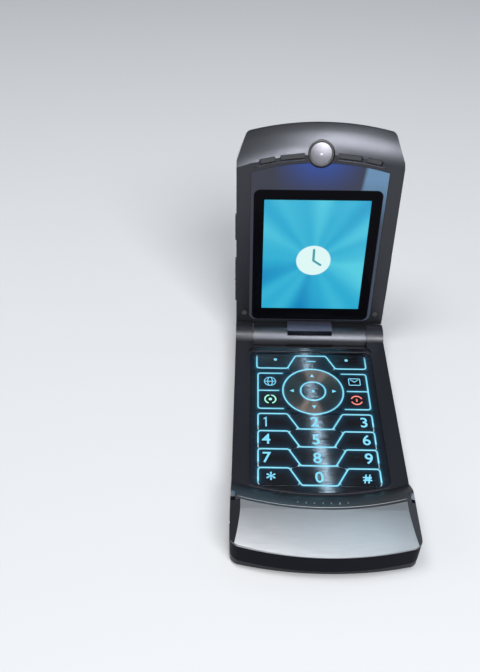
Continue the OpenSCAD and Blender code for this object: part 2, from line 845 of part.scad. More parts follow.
module keypad_panel() {
    color([0.05, 0.06, 0.08]) translate([0, 0, pad_z0]) linear_extrude(pad_t) difference() {
        pad_outline(fit);
        for (s = [-1, 1]) {
            cell(soft_points(s), key_gap / 2);
            cell(block_points(s, nav_y), key_gap / 2);
            cell(block_points(s, nav_y - block_h), key_gap / 2);
            for (i = [0:3]) cell(wing_points(s, i), key_gap / 2);
        }
        for (i = [0:3]) cell(middle_points(i), key_gap / 2);
        cell(menu_points, key_gap / 2);
        translate([0, nav_y]) circle(nav_r + key_gap / 2, $fn = round_fn);
        // where three keys meet
        for (s = [-1, 1], i = [1:3]) {
            translate([s * wing_x, top_of(i)]) circle(0.7, $fn = 24);
            translate([s * foot_x, top_of(i - 1) - row_drop]) circle(0.7, $fn = 24);
        }
    }
}

// ---- lid, described closed ----

// right shoulder of the lid's tip: its two ends, outward normal, and the centre of the corner under it
shoulder_y = seam_cy - sqrt(tip_r * tip_r - (half_w - shoulder_w) * (half_w - shoulder_w));
shoulder_top = [half_w, shoulder_y + shoulder_l];
shoulder_d = -[shoulder_w, shoulder_l] / norm([shoulder_w, shoulder_l]);
shoulder_n = [-shoulder_d[1], shoulder_d[0]];
tip_from = shoulder_top - tip_corner_r * shoulder_n - [0, seam_cy];
tip_along = shoulder_d * tip_from;
tip_reach = tip_r - tip_corner_r;
tip_c = [0, seam_cy] + tip_from
    + (sqrt(tip_along * tip_along - tip_from * tip_from + tip_reach * tip_reach) - tip_along) * shoulder_d;

// all that the right shoulder takes off the lid's plan
module shoulder_cut(inset) {
    far = 4 * tip_corner_r;
    out = (tip_c - [0, seam_cy]) / norm(tip_c - [0, seam_cy]);
    translate(shoulder_top) rotate(-atan(shoulder_w / shoulder_l))
        translate([-inset, -2 * shoulder_l]) square([2 * shoulder_l, 4 * shoulder_l]);
    difference() {
        polygon([tip_c, tip_c + far * shoulder_n, tip_c + far * (shoulder_n + out), tip_c + far * out]);
        translate(tip_c) circle(tip_corner_r - inset, $fn = round_fn);
    }
}

module lid_plan(inset = 0) {
    difference() {
        intersection() {
            translate([0, seam_cy]) circle(tip_r - inset, $fn = 4 * round_fn);
            translate([-half_w + inset, seam_cy - tip_r - 1]) square([2 * (half_w - inset), hinge_y - seam_cy + tip_r + 1]);
        }
        for (s = [0, 1]) mirror([s, 0]) shoulder_cut(inset);
    }
}

module lid_side(inset = 0) {
    y0 = seam_cy - tip_r - 1;
    translate([y0, lid_z0]) square([at_u(heel_u) - y0, closed_t - inset - lid_z0]);
    intersection() {
        translate([at_u(heel_u), closed_t - heel_r]) circle(heel_r - inset, $fn = round_fn);
        translate([at_u(heel_u) - eps, lid_z0]) square([heel_r, closed_t]);
    }
}

module lid_cross(inset = 0) {
    w = half_w - inset;
    r = edge_r - inset;
    translate([-w, 0]) square([2 * w, closed_t - edge_r]);
    translate([-w + r, closed_t - edge_r - eps]) square([2 * (w - r), r + eps]);
    for (x = [-1, 1]) translate([x * (w - r), closed_t - edge_r]) circle(r);
}

module lid_block(inset = 0) {
    difference() {
        intersection() {
            linear_extrude(closed_t) lid_plan(inset);
            along_x(body_w + 2) lid_side(inset);
            along_y(2 * body_len) lid_cross(inset);
        }
        around_seam() slope_section(lid_gap + inset);
        both_sides() rod(barrel_half - inset, half_w + 1, knuckle_r + knuckle_clear + inset);
    }
}

// all that belongs to the inner frame: the low layer, the skin over the slope and the badge's seat
module frame_part(gap = 0) {
    slab_box(-half_w, half_w, -half_len, hinge_y + 9, 0, lid_split + gap);
    around_seam() slope_section(lid_gap + skin_t + gap);
    badge_seat() translate([0, 0, -3]) cylinder(h = 3 + badge_t + skin_t + gap, r = badge_r + skin_t + gap);
}

module lid_hollow() {
    intersection() {
        linear_extrude(closed_t) lid_plan(lid_wall);
        slab_box(-half_w, half_w, chin_y, at_u(6.5), lid_in0, lid_in1);
    }
}

module window_outline(inset = 0) {
    intersection() {
        translate([0, at_u(arch_u - arch_r)]) circle(arch_r - inset, $fn = 4 * round_fn);
        translate([0, (at_u(window_u0) + at_u(arch_u + 3)) / 2])
            round_rect(2 * (window_half - inset), arch_u + 3 - window_u0 - 2 * inset, 2.4);
    }
}

// places of the side keys: side, middle from the hinge, length
side_keys = [[-1, rocker_u, rocker_l], [-1, smart_u, smart_l], [1, voice_u, voice_l]];

module side_key_hole(k, grow) {
    translate([k[0] * (half_w - lid_wall / 2), at_u(k[1]), side_key_z])
        rotate([90, 0, 90]) linear_extrude(lid_wall + 1, center = true) stadium(k[2] + 2 * grow, side_key_h + 2 * grow);
}

module ear_slots() {
    for (s = [-1, 1], p = [[8.7, 7.8], [16.3, 5.2]])
        translate([0, at_u(arch_u - arch_r), lid_z0 - 1]) rotate(s * asin(p[0] / arch_r))
            translate([0, -arch_r - 2.3, 0]) linear_extrude(1.6) round_rect(p[1], slot_h, 0.45);
}

module lid_frame() {
    color("dimgray") swing() difference() {
        union() {
            intersection() {
                lid_block();
                frame_part(-seam / 2);
            }
            rod(-barrel_half, barrel_half, barrel_r);
        }
        intersection() {
            lid_hollow();
            lid_block(lid_wall - eps);
        }
        translate([0, 0, lid_z0 - 1]) linear_extrude(1 + window_t + 0.05) window_outline();
        display_bay(0.15);
        badge_seat() translate([0, 0, -3]) cylinder(h = 3 + badge_t + 0.05, r = badge_r + fit);
        ear_slots();
        for (k = side_keys) side_key_hole(k, 0.12);
        rod(5, barrel_half + 1, cartridge_r + run_fit);
        rod(-barrel_half - 1, -12, bush_r + run_fit);
        rod(-13, 6, 2);
    }
}

module display_bay(grow) {
    y0 = at_u(screen_u + screen_h + screen_border - 1.2);
    slab_box(-screen_w / 2 - screen_border - grow, screen_w / 2 + screen_border + grow,
        y0 - grow, at_u(screen_u - 2.4) + grow, lid_z0 + window_t, lid_z0 + 2 * plate_t);
}

module lid_shell() {
    color("gainsboro") swing() difference() {
        lid_block();
        frame_part(seam / 2);
        intersection() {
            lid_hollow();
            lid_block(lid_wall - eps);
        }
        rod(-half_w, half_w, barrel_r + seam);
        translate([0, at_u(outer_u + outer_h / 2), lid_in1 - 1]) linear_extrude(9) round_rect(outer_w, outer_h, 1.2);
        translate([0, at_u(camera_u), lid_in1 - 1]) cylinder(h = 9, r = camera_r + 0.1);
        translate([0, at_u(62), closed_t - 0.15]) cylinder(h = 1, r = 5);
        translate([0, at_u(71.5), closed_t - 0.5]) linear_extrude(1) stadium(3, 0.8);
        // parting lines of the outer plate
        for (u = [panel_u0, panel_u1]) slab_box(-half_w, half_w, at_u(u) - 0.12, at_u(u) + 0.12, closed_t - 0.2, closed_t + 1);
        for (k = side_keys) side_key_hole(k, 0.12);
    }
}

// raised bridge from the lid's inner face over the barrel
module hinge_tongue() {
    color("dimgray") swing() intersection() {
        slab_box(-tongue_half, tongue_half, hinge_y - 9, hinge_y + 9, -1, lid_z0);
        difference() {
            rod(-tongue_half, tongue_half, barrel_r + tongue_t);
            rod(-tongue_half - 1, tongue_half + 1, barrel_r + eps);
        }
        along_x(body_w) polygon([[hinge_y, axis_z], [hinge_y - 20, axis_z + 12.4], [hinge_y - 20, axis_z - 11.1]]);
    }
}

module hinge_cartridge() {
    color("goldenrod") swing() difference() {
        rod(5.2, barrel_half - 0.1, cartridge_r);
        rod(5, barrel_half + 1, shaft_r + run_fit);
    }
}

module display_window() {
    color([0.05, 0.06, 0.1, 0.6]) swing() translate([0, 0, lid_z0 + 0.05]) linear_extrude(window_t - 0.05)
        difference() {
            window_outline(fit);
            translate([0, at_u(badge_u)]) circle(badge_r + 0.25);
        }
}

module main_display() {
    color("deepskyblue") swing() {
        y0 = at_u(screen_u + screen_h + screen_border - 1.2);
        slab_box(-screen_w / 2 - screen_border, screen_w / 2 + screen_border, y0, at_u(screen_u - 2.4),
            lid_z0 + window_t + 0.1, lid_split + 0.4);
    }
}

// height of the lid's slope at a distance from the hinge axis
function lid_slope_z(u) = let (r = seam_cy - at_u(u) - slope_c[0], big = slope_r + lid_gap)
    slope_c[1] + sqrt(big * big - r * r);

// carries a round piece to the badge's seat, which leans from the flat face to the slope
module badge_seat() {
    rise = lid_slope_z(badge_u + badge_r) - lid_z0;
    translate([0, at_u(badge_u), lid_z0 + rise / 2]) rotate([-atan(rise / (2 * badge_r)), 0, 0]) children();
}

// domed disc
module badge() {
    color("silver") swing() badge_seat() rotate_extrude($fn = round_fn) intersection() {
        translate([0, badge_dome_r - badge_dome]) circle(badge_dome_r, $fn = 4 * round_fn);
        translate([0, -badge_dome]) square([badge_r, badge_dome + badge_t]);
    }
}

module earpiece() {
    color("black") swing() translate([0, at_u(foot_u - 4.8), lid_in0 + 0.1]) linear_extrude(1.8) round_rect(15, 5.4, 2);
}

module lid_board() {
    color("darkgreen") swing() translate([0, at_u((screen_u + screen_h + 8) / 2), lid_split + 0.5])
        linear_extrude(0.5) round_rect(40, screen_h, 1.5);
}

module vibrator() {
    color("silver") swing() translate([15, at_u(foot_u - 7.8), lid_in0 + 0.1]) cylinder(h = 2.4, r = 3.6);
}

module outer_window() {
    color([0.05, 0.08, 0.15, 0.7]) swing() translate([0, at_u(outer_u + outer_h / 2), lid_in1])
        linear_extrude(plate_t - 0.1) round_rect(outer_w - 2 * fit, outer_h - 2 * fit, 1.1);
}

module outer_display() {
    color("royalblue") swing() translate([0, at_u(outer_u + outer_h / 2), lid_split + 1.05])
        linear_extrude(lid_in1 - lid_split - 1.1) square([outer_w - 1, outer_h - 1], center = true);
}

module camera() {
    color("black") swing() translate([0, at_u(camera_u), 0]) {
        translate([0, 0, lid_split + 1.1]) cylinder(h = closed_t - 0.1 - lid_split - 1.1, r = camera_r);
        translate([0, 0, lid_split + 1.1]) linear_extrude(closed_t - lid_wall - 0.1 - lid_split - 1.1)
            square([7, 6.4], center = true);
    }
}

// key in the lid's side: cap through the wall and flange behind it
module side_key(k) {
    s = k[0];
    translate([s * half_w, at_u(k[1]), side_key_z]) scale_x(s) rotate([90, 0, 90]) {
        translate([0, 0, -lid_wall - flange_back - eps])
            linear_extrude(lid_wall + flange_back + side_key_proud + eps) stadium(k[2], side_key_h);
        translate([0, 0, -lid_wall - flange_back - flange_t])
            linear_extrude(flange_t) stadium(k[2] + 2 * flange_lip, side_key_h + flange_lip);
    }
}

module volume_rocker() {
    color("gray") swing() {
        difference() {
            side_key(side_keys[0]);
            // waist between the two halves
            translate([-half_w - side_key_proud - 0.5, at_u(rocker_u), side_key_z])
                cylinder(h = 4, r = 0.9, center = true, $fn = 24);
        }
        translate([-half_w - 0.2, at_u(rocker_u), side_key_z]) rotate([0, 90, 0])
            cylinder(h = 0.6, r = 0.4, center = true, $fn = 24);
    }
}

module smart_key() { color("gray") swing() side_key(side_keys[1]); }
module voice_key() { color("gray") swing() side_key(side_keys[2]); }

// ---- the phone ----

front_housing();
side_bands();
rear_housing();
chin_frame();
chin_cover();
keypad_panel();
light_sheet();
dome_sheet();
main_board();
shield_cans();
usb_port();
usb_trim();
antenna();
loudspeaker();
microphone();
sim_holder();
hinge_cap_left();
hinge_cap_right();
hinge_pins();
battery_door();
door_latch();
battery();
nav_gimbal();
nav_ring();
key_select();
key_soft_left();
key_menu();
key_soft_right();
key_browser();
key_message();
key_send();
key_end();
left_key(0);  // key_1
middle_key(0);  // key_2
right_key(0);  // key_3
left_key(1);  // key_4
middle_key(1);  // key_5
right_key(1);  // key_6
left_key(2);  // key_7
middle_key(2);  // key_8
right_key(2);  // key_9
left_key(3);  // key_star
middle_key(3);  // key_0
right_key(3);  // key_hash
lid_frame();
lid_shell();
hinge_tongue();
hinge_cartridge();
display_window();
main_display();
badge();
earpiece();
lid_board();
vibrator();
outer_window();
outer_display();
camera();
volume_rocker();
smart_key();
voice_key();
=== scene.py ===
# %% [markdown]
# # A folding mobile phone
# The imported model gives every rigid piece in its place. This notebook adds what a drawing office leaves out:
# the finishes, the lit lines between the keys, the digits, the little signs, the screen picture and the
# light. The frame is loaded first, because every size below is measured from it.

# %% Load the frame
import math

import bmesh
import bpy
from mathutils import Matrix, Vector


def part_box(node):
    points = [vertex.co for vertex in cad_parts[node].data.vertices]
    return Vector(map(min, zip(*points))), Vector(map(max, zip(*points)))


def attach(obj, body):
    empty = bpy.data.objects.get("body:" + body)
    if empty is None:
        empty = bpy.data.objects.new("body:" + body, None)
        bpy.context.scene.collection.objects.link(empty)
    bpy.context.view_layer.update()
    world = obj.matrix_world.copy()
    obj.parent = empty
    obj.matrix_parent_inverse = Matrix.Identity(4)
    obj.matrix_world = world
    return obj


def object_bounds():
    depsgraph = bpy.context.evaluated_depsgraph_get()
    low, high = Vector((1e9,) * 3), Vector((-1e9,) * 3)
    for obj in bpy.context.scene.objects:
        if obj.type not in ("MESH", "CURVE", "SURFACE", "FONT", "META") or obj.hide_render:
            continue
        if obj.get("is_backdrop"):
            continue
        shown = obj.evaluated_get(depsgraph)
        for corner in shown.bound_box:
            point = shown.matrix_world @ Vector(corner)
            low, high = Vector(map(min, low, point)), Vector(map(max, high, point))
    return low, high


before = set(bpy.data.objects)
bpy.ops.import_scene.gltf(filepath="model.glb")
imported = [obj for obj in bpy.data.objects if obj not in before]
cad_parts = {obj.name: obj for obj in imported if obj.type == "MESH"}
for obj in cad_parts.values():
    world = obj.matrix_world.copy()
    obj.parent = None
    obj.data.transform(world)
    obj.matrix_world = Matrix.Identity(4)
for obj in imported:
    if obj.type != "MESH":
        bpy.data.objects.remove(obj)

MM = 0.001
cad_low, cad_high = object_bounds()
print("the phone, opened, in mm:", [round(v / MM, 1) for v in cad_high - cad_low])

# %% [markdown]
# ## Where the lid and the seam are
# The lid is drawn shut, lying over the keys, and then turned open about the hinge by 95 degrees. Anything
# that sits on the lid is easiest to place while it is shut, as a distance up the lid and a height over the
# table. One matrix then carries it to where the open lid stands, and its inverse lets a material measure
# along the lid. The chin's seam is an arc seen from above. `SEAM_Y` is the y of the middle of its circle, in
# millimetres. The slope, the keypad's foot and the microphone grooves all turn about that same point.

# %% The hinge
HINGE_Y, HINGE_Z, OPEN = 43.7 * MM, 5.4 * MM, math.radians(95)
to_hinge = Matrix.Translation((0, HINGE_Y, HINGE_Z))
LID_OPEN = to_hinge @ Matrix.Rotation(-OPEN, 4, "X") @ to_hinge.inverted()
LID_SHUT = LID_OPEN.inverted()
KEY_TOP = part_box("keypad_panel")[1].z
NAV = Vector((0, 15.3 * MM, 0))
SEAM_Y = 52.8
print("hinge at", round(HINGE_Y / MM, 2), round(HINGE_Z / MM, 2), "keys' top at", round(KEY_TOP / MM, 2))


def on_lid(x, up, height):
    """A point of the shut lid, from millimetres across, up from the hinge and over the table, in metres."""
    return Vector((x * MM, HINGE_Y - up * MM, height * MM))


# %% [markdown]
# ## The camera
# A camera is an object whose matrix says where it stands and where its three axes point. Its x axis is the
# picture's right, its y axis is up, and it looks along its own minus z. The lens is given for a 36 mm
# sensor's long side.

# %% Set up the camera
def look(place, right, up, lens):
    camera = bpy.data.objects.new("camera", bpy.data.cameras.new("camera"))
    bpy.context.scene.collection.objects.link(camera)
    axes = Matrix((right, up, right.cross(up))).transposed().to_4x4()
    camera.matrix_world = Matrix.Translation(place) @ axes
    camera.data.lens, camera.data.sensor_width = lens, 36
    camera.data.clip_start, camera.data.clip_end = 0.01, 20
    bpy.context.scene.camera = camera
    return camera


view = look(Vector((-22.0, -150.379, 188.471)) * MM, Vector((0.99983644, 0.01794151, 0.00227822)),
            Vector((-0.01395164, 0.68499685, 0.72841243)), 38.9116)
print("camera at", [round(v, 3) for v in view.location], "lens", round(view.data.lens, 1))

# %% [markdown]
# ## Making materials
# A material is a small circuit: nodes compute a number or a colour at each point, and a shader turns that
# into a surface. Writing every node by hand is long, so two short helpers do it. `wire` adds one node and
# feeds its inputs in order, and `finish` makes a material round one Principled shader, whose sockets are
# named in plain words. All patterns read Object coordinates, in metres, so a grain of a third of a
# millimetre has a scale of about 3000.

# %% The shader workbench
def feed(tree, value, socket):
    if isinstance(value, bpy.types.NodeSocket):
        tree.links.new(value, socket)
    elif value is not None:
        socket.default_value = value


def wire(tree, kind, *values, out=0, **settings):
    node = tree.nodes.new("ShaderNode" + kind)
    for key, value in settings.items():
        setattr(node, key, value)
    for value, socket in zip(values, node.inputs):
        feed(tree, value, socket)
    return node.outputs[out]


def sums(tree, operation, *values, **settings):
    return wire(tree, "Math", *values, operation=operation, **settings)


def vectors(tree, operation, *values, out=0):
    return wire(tree, "VectorMath", *values, operation=operation, out=out)


def between(tree, share, first, second):
    """A colour from first to second."""
    node = tree.nodes.new("ShaderNodeMix")
    node.data_type = "RGBA"
    for value, socket in ((share, 0), (first, 6), (second, 7)):
        feed(tree, (*value, 1) if isinstance(value, tuple) else value, node.inputs[socket])
    return node.outputs[2]


def ramp(tree, value, *stops):
    """A colour from a list of places and colours."""
    node = tree.nodes.new("ShaderNodeValToRGB")
    feed(tree, value, node.inputs[0])
    while len(node.color_ramp.elements) < len(stops):
        node.color_ramp.elements.new(0.5)
    for element, (place, colour) in zip(node.color_ramp.elements, stops):
        element.position, element.color = place, (*colour, 1)
    return node.outputs[0]


def finish(name, **sockets):
    """A new material, its tree and its shader. Base_Color=... and so on set the shader's sockets."""
    made = bpy.data.materials.new(name)
    made.use_nodes = True
    shader = made.node_tree.nodes["Principled BSDF"]
    for key, value in sockets.items():
        value = (*value, 1) if isinstance(value, tuple) and len(value) == 3 else value
        feed(made.node_tree, value, shader.inputs[key.replace("_", " ")])
    return made, made.node_tree, shader


def place_on(tree):
    return wire(tree, "TexCoord", out=3)


def grain(tree, scale, stretch=(1, 1, 1), detail=2.0, where=None):
    """Fine noise from 0 to 1; a stretch of (0.02, 1, 1) draws it out into lines along x."""
    where = where or place_on(tree)
    stretched = wire(tree, "Mapping", where, None, None, stretch)
    return wire(tree, "TexNoise", stretched, None, scale, detail, 0.6)


def relief(tree, shader, height, depth):
    feed(tree, wire(tree, "Bump", 0.3, depth, None, height), shader.inputs["Normal"])


def share_of(tree, value, low, high, first=0.0, last=1.0):
    """A number that goes from first to last while the value goes from low to high."""
    return wire(tree, "MapRange", value, low, high, first, last)


def spread(tree, noise, low, high):
    """The middle part of a noise, drawn out from low to high."""
    return share_of(tree, noise, 0.3, 0.7, low, high)


print("workbench ready, with the shader's own sockets set by name")

# %% [markdown]
# ## Metals and plastics
# The housing is magnesium and aluminium under a satin paint. Such paint has metal flakes in it, so it is
# treated as a metal with a fairly rough surface, broken by a fine sparkle. Brushed metal is the same with
# the noise drawn out into lines, which also make its shine long and narrow: that is what anisotropy is. A
# broad mottling of the roughness keeps a large face from looking too even. Three paints also carry painted
# light and shade. It is mixed in as a second colour, by a share that nodes work out from where the point is or
# from which way its surface faces. The gunmetal has a painted sheen: it grows lighter up the slope, between
# two distances from the seam's middle. The back paint has painted shade: it grows darker towards the chin's
# end. The chin's silver has painted shade too: it is darker on the faces that turn to the sides.

# %% Satin paints
def satin_paint(name, colour, metallic, roughness, flake=3500, depth=0.00001):
    made, tree, shader = finish(name, Metallic=metallic)
    fine = grain(tree, flake)
    broad = grain(tree, 60, detail=3)
    lighter = tuple(min(1, c * 1.16) for c in colour)
    darker = tuple(c * 0.88 for c in colour)
    feed(tree, between(tree, fine, darker, lighter), shader.inputs["Base Color"])
    feed(tree, spread(tree, broad, roughness - 0.04, roughness + 0.04), shader.inputs["Roughness"])
    relief(tree, shader, fine, depth)
    return made


def brushed(name, colour, roughness, stretch, turn=(1, 0, 0), anisotropy=0.7):
    made, tree, shader = finish(name, Metallic=1.0, Anisotropic=anisotropy)
    lines = grain(tree, 9000, stretch)
    lighter = tuple(min(1, c * 1.12) for c in colour)
    darker = tuple(c * 0.86 for c in colour)
    feed(tree, between(tree, lines, darker, lighter), shader.inputs["Base Color"])
    feed(tree, spread(tree, lines, roughness - 0.03, roughness + 0.05), shader.inputs["Roughness"])
    feed(tree, wire(tree, "CombineXYZ", *[float(t) for t in turn]), shader.inputs["Tangent"])
    relief(tree, shader, lines, 0.000006)
    return made


def tinted(made, share, colour):
    """Mixes a second colour into a paint, by a share from 0 to 1; here it paints in light and shade."""
    tree = made.node_tree
    socket = tree.nodes["Principled BSDF"].inputs["Base Color"]
    feed(tree, between(tree, share, socket.links[0].from_socket, colour), socket)


def set_specular(made, level):
    made.node_tree.nodes["Principled BSDF"].inputs["Specular IOR Level"].default_value = level


ALONG_X, ALONG_Y = (0.02, 1, 1), (1, 0.02, 1)
PAINTED_SHEEN_START, PAINTED_SHEEN_END = 79.5 * MM, 86.5 * MM
CHIN_END, CHIN_SIDE = -46 * MM, -41 * MM

gunmetal = satin_paint("gunmetal_paint", (0.016, 0.017, 0.022), 0.5, 0.3)
# Painted sheen: the gunmetal is painted lighter up the slope, towards the seam.
tree = gunmetal.node_tree
flat = vectors(tree, "MULTIPLY", place_on(tree), (1, 1, 0))
reach = vectors(tree, "DISTANCE", flat, (0, SEAM_Y * MM, 0), out=1)
tinted(gunmetal, share_of(tree, reach, PAINTED_SHEEN_START, PAINTED_SHEEN_END), (0.06, 0.063, 0.068))
lid_paint = satin_paint("lid_paint", (0.05, 0.052, 0.06), 0.92, 0.325)
back_paint = satin_paint("back_paint", (0.06, 0.06, 0.067), 0.0, 0.45)
set_specular(back_paint, 0.15)
# Painted shade: the back paint is painted darker towards the chin's end.
tree = back_paint.node_tree
along = wire(tree, "SeparateXYZ", place_on(tree), out=1)
tinted(back_paint, share_of(tree, along, CHIN_END, CHIN_SIDE, 1.0, 0.0), (0.006, 0.007, 0.010))
dark_paint = satin_paint("dark_paint", (0.004, 0.005, 0.008), 0.0, 0.45)
set_specular(dark_paint, 0.02)
chin_silver = brushed("chin_silver", (0.37, 0.378, 0.395), 0.33, ALONG_X, turn=(0, 1, 0), anisotropy=0.5)
# Painted shade: the chin's silver is painted darker where its surface turns to the sides.
tree = chin_silver.node_tree
side_lean_for_painted_shade = wire(tree, "SeparateXYZ", wire(tree, "NewGeometry", out=1))
tinted(chin_silver, share_of(tree, sums(tree, "ABSOLUTE", side_lean_for_painted_shade), 0.3, 0.6), (0.09, 0.092, 0.1))
shell_silver = satin_paint("shell_silver", (0.56, 0.57, 0.6), 0.55, 0.38)
band_silver = brushed("band_silver", (0.62, 0.64, 0.68), 0.27, ALONG_Y, turn=(1, 0, 0))
steel = brushed("steel", (0.2, 0.2, 0.2), 0.3, ALONG_X)
# A lighter metal for the bar that paints the highlight along the seam's edge.
seam_highlight_metal = satin_paint("seam_highlight_metal", (0.2, 0.2, 0.21), 1.0, 0.4)
tongue_paint = satin_paint("tongue_paint", (0.06, 0.062, 0.09), 0.7, 0.42)
print("paints:", [m.name for m in (gunmetal, lid_paint, back_paint, dark_paint, shell_silver)])

# %% [markdown]
# ## Inner pieces
# Most of these are seen only when something is taken off. One moulded plastic, in several colours, serves
# for nearly all of them.

# %% Inner pieces
def moulded(name, colour, roughness=0.5, **sockets):
    made, tree, shader = finish(name, **sockets)
    fine = grain(tree, 2500)
    feed(tree, between(tree, fine, tuple(c * 0.85 for c in colour), colour), shader.inputs["Base Color"])
    feed(tree, spread(tree, fine, roughness - 0.05, roughness + 0.05), shader.inputs["Roughness"])
    relief(tree, shader, fine, 0.00002)
    return made


black_plastic = moulded("black_plastic", (0.02, 0.02, 0.022), 0.42)
battery_plastic = moulded("battery_plastic", (0.035, 0.037, 0.042), 0.5)
rubber = moulded("rubber", (0.03, 0.03, 0.03), 0.75)
board_green = moulded("board_green", (0.01, 0.09, 0.045), 0.4)
clear_film = moulded("light_film", (0.55, 0.68, 0.72), 0.3)
dome_film = moulded("dome_film", (0.5, 0.5, 0.48), 0.35)
tin = satin_paint("tin", (0.55, 0.56, 0.56), 1.0, 0.3)
chrome = satin_paint("chrome", (0.21, 0.21, 0.235), 1.0, 0.48, flake=900, depth=0.000002)
side_rubber = moulded("side_key_plastic", (0.05, 0.052, 0.058), 0.4, Metallic=0.5)
print("inner pieces:", [m.name for m in (black_plastic, battery_plastic, rubber, board_green, tin)])

# %% [markdown]
# ## The lit lines
# Light leaves the pad through the gaps between its keys. The outline of every gap is known from the drawing,
# so the same points serve twice. They are swept into thin light guides that fill the gaps, and a group of
# nodes measures how far any point of the pad is from them. From that distance a soft blue halo is painted
# onto the metal beside a gap, as emission: painted light for the glow that spills from the gap. Sizes are in
# millimetres. Each row of number keys starts `PITCH` lower than the one before, and its line drops by `DROP`
# in the middle.

# %% Where the lines run
ROW_TOP, PITCH, DROP, TAIL = 5.1, 7.2, 6.3, 5
WING, FOOT, FIELD = 9, 5.4, 18.5
NAV_R, SELECT_R = 10.05, 4.25
BLOCK, BLOCK_START, SPLIT_START = 8, 10, 11.4
SOFT_END, SOFT_TOP, SOFT_LOW = 18.9, 30.9, 25.8
MENU_FOOT, MENU_HEAD, MENU_TOP = 8.3, 5.3, 31.9


def row_line(i):
    top = ROW_TOP - i * PITCH
    return [(-FIELD, top - TAIL), (-FIELD, top), (-WING, top), (-FOOT, top - DROP),
            (FOOT, top - DROP), (WING, top), (FIELD, top), (FIELD, top - TAIL)]


y_nav = NAV.y / MM
right_half = [(SOFT_END, SOFT_TOP), (SOFT_END, SOFT_LOW), (MENU_FOOT, SOFT_LOW), (MENU_HEAD, MENU_TOP)]
menu_line = [(-x, y) for x, y in right_half] + right_half[::-1]
lines = [row_line(i) for i in range(4)] + [menu_line]
for s in (-1, 1):
    lines.append([(s * BLOCK_START, y_nav + BLOCK), (s * FIELD, y_nav + BLOCK), (s * FIELD, y_nav - BLOCK),
                  (s * BLOCK_START, y_nav - BLOCK)])
    lines.append([(s * SPLIT_START, y_nav), (s * FIELD, y_nav)])
print(len(lines), "open lines and two rings are lit")

# %% [markdown]
# ## Measuring from a line
# A node group works as a function does: it is wired once and used for every stroke. The smallest of all the
# distances is the distance to the whole drawing.

# %% Distance to a line, as nodes
def distance_group():
    """How far a point is from a stroke. The point's shadow on it is held between its two ends."""
    tree = bpy.data.node_groups.new("distance_to_stroke", "ShaderNodeTree")
    for socket in ("Point", "Start", "Along"):
        tree.interface.new_socket(socket, in_out="INPUT", socket_type="NodeSocketVector")
    tree.interface.new_socket("Distance", in_out="OUTPUT", socket_type="NodeSocketFloat")
    point, start, along = list(tree.nodes.new("NodeGroupInput").outputs)[:3]
    away = vectors(tree, "SUBTRACT", point, start)
    share = sums(tree, "DIVIDE", vectors(tree, "DOT_PRODUCT", away, along, out=1),
                 vectors(tree, "DOT_PRODUCT", along, along, out=1), use_clamp=True)
    nearest = vectors(tree, "MULTIPLY", along, wire(tree, "CombineXYZ", share, share, share))
    feed(tree, vectors(tree, "LENGTH", vectors(tree, "SUBTRACT", away, nearest), out=1),
         tree.nodes.new("NodeGroupOutput").inputs[0])
    return tree


STROKE = distance_group()


def to_stroke(tree, point, start, end):
    node = tree.nodes.new("ShaderNodeGroup")
    node.node_tree = STROKE
    along = (end[0] - start[0], end[1] - start[1], 0)
    for socket, value in zip(node.inputs, (point, (*start, 0), along)):
        feed(tree, value, socket)
    return node.outputs[0]


def nearest_of(tree, distances):
    found = distances[0]
    for distance in distances[1:]:
        found = sums(tree, "MINIMUM", found, distance)
    return found


def flat_mm(tree):
    """The point in the pad's plane, in millimetres."""
    return vectors(tree, "MULTIPLY", place_on(tree), (1000, 1000, 0))


def ring_distance(tree, point, radius):
    out = vectors(tree, "DISTANCE", point, (0, y_nav, 0), out=1)
    return sums(tree, "ABSOLUTE", sums(tree, "SUBTRACT", out, radius))


def pad_glow(tree):
    """Millimetres from the nearest lit line or ring."""
    point = flat_mm(tree)
    found = [to_stroke(tree, point, a, b) for line in lines for a, b in zip(line, line[1:])]
    found += [ring_distance(tree, point, NAV_R), ring_distance(tree, point, SELECT_R)]
    return nearest_of(tree, found)


print("halo measured by a group of", len(STROKE.nodes), "nodes")

# %% [markdown]
# ## The keys' metal
# The keypad is one sheet of dark etched metal, brushed across. Every scratch is a tiny groove whose walls
# lean up or down the pad, so a reflection is drawn out into a long narrow streak at right angles to the
# scratches. The leaning walls are made here directly: fine noise, stretched along the scratches, tips the
# surface's normal. Taking more than half off the noise, `WALL_BIAS`, makes the walls lean to the front on
# the whole. The four-way ring was turned on a lathe, so its grooves are circles and its walls lean towards
# the middle or away from it.

# %% Key metal
BRUSH_LEAN, WALL_BIAS = -0.177, 0.62


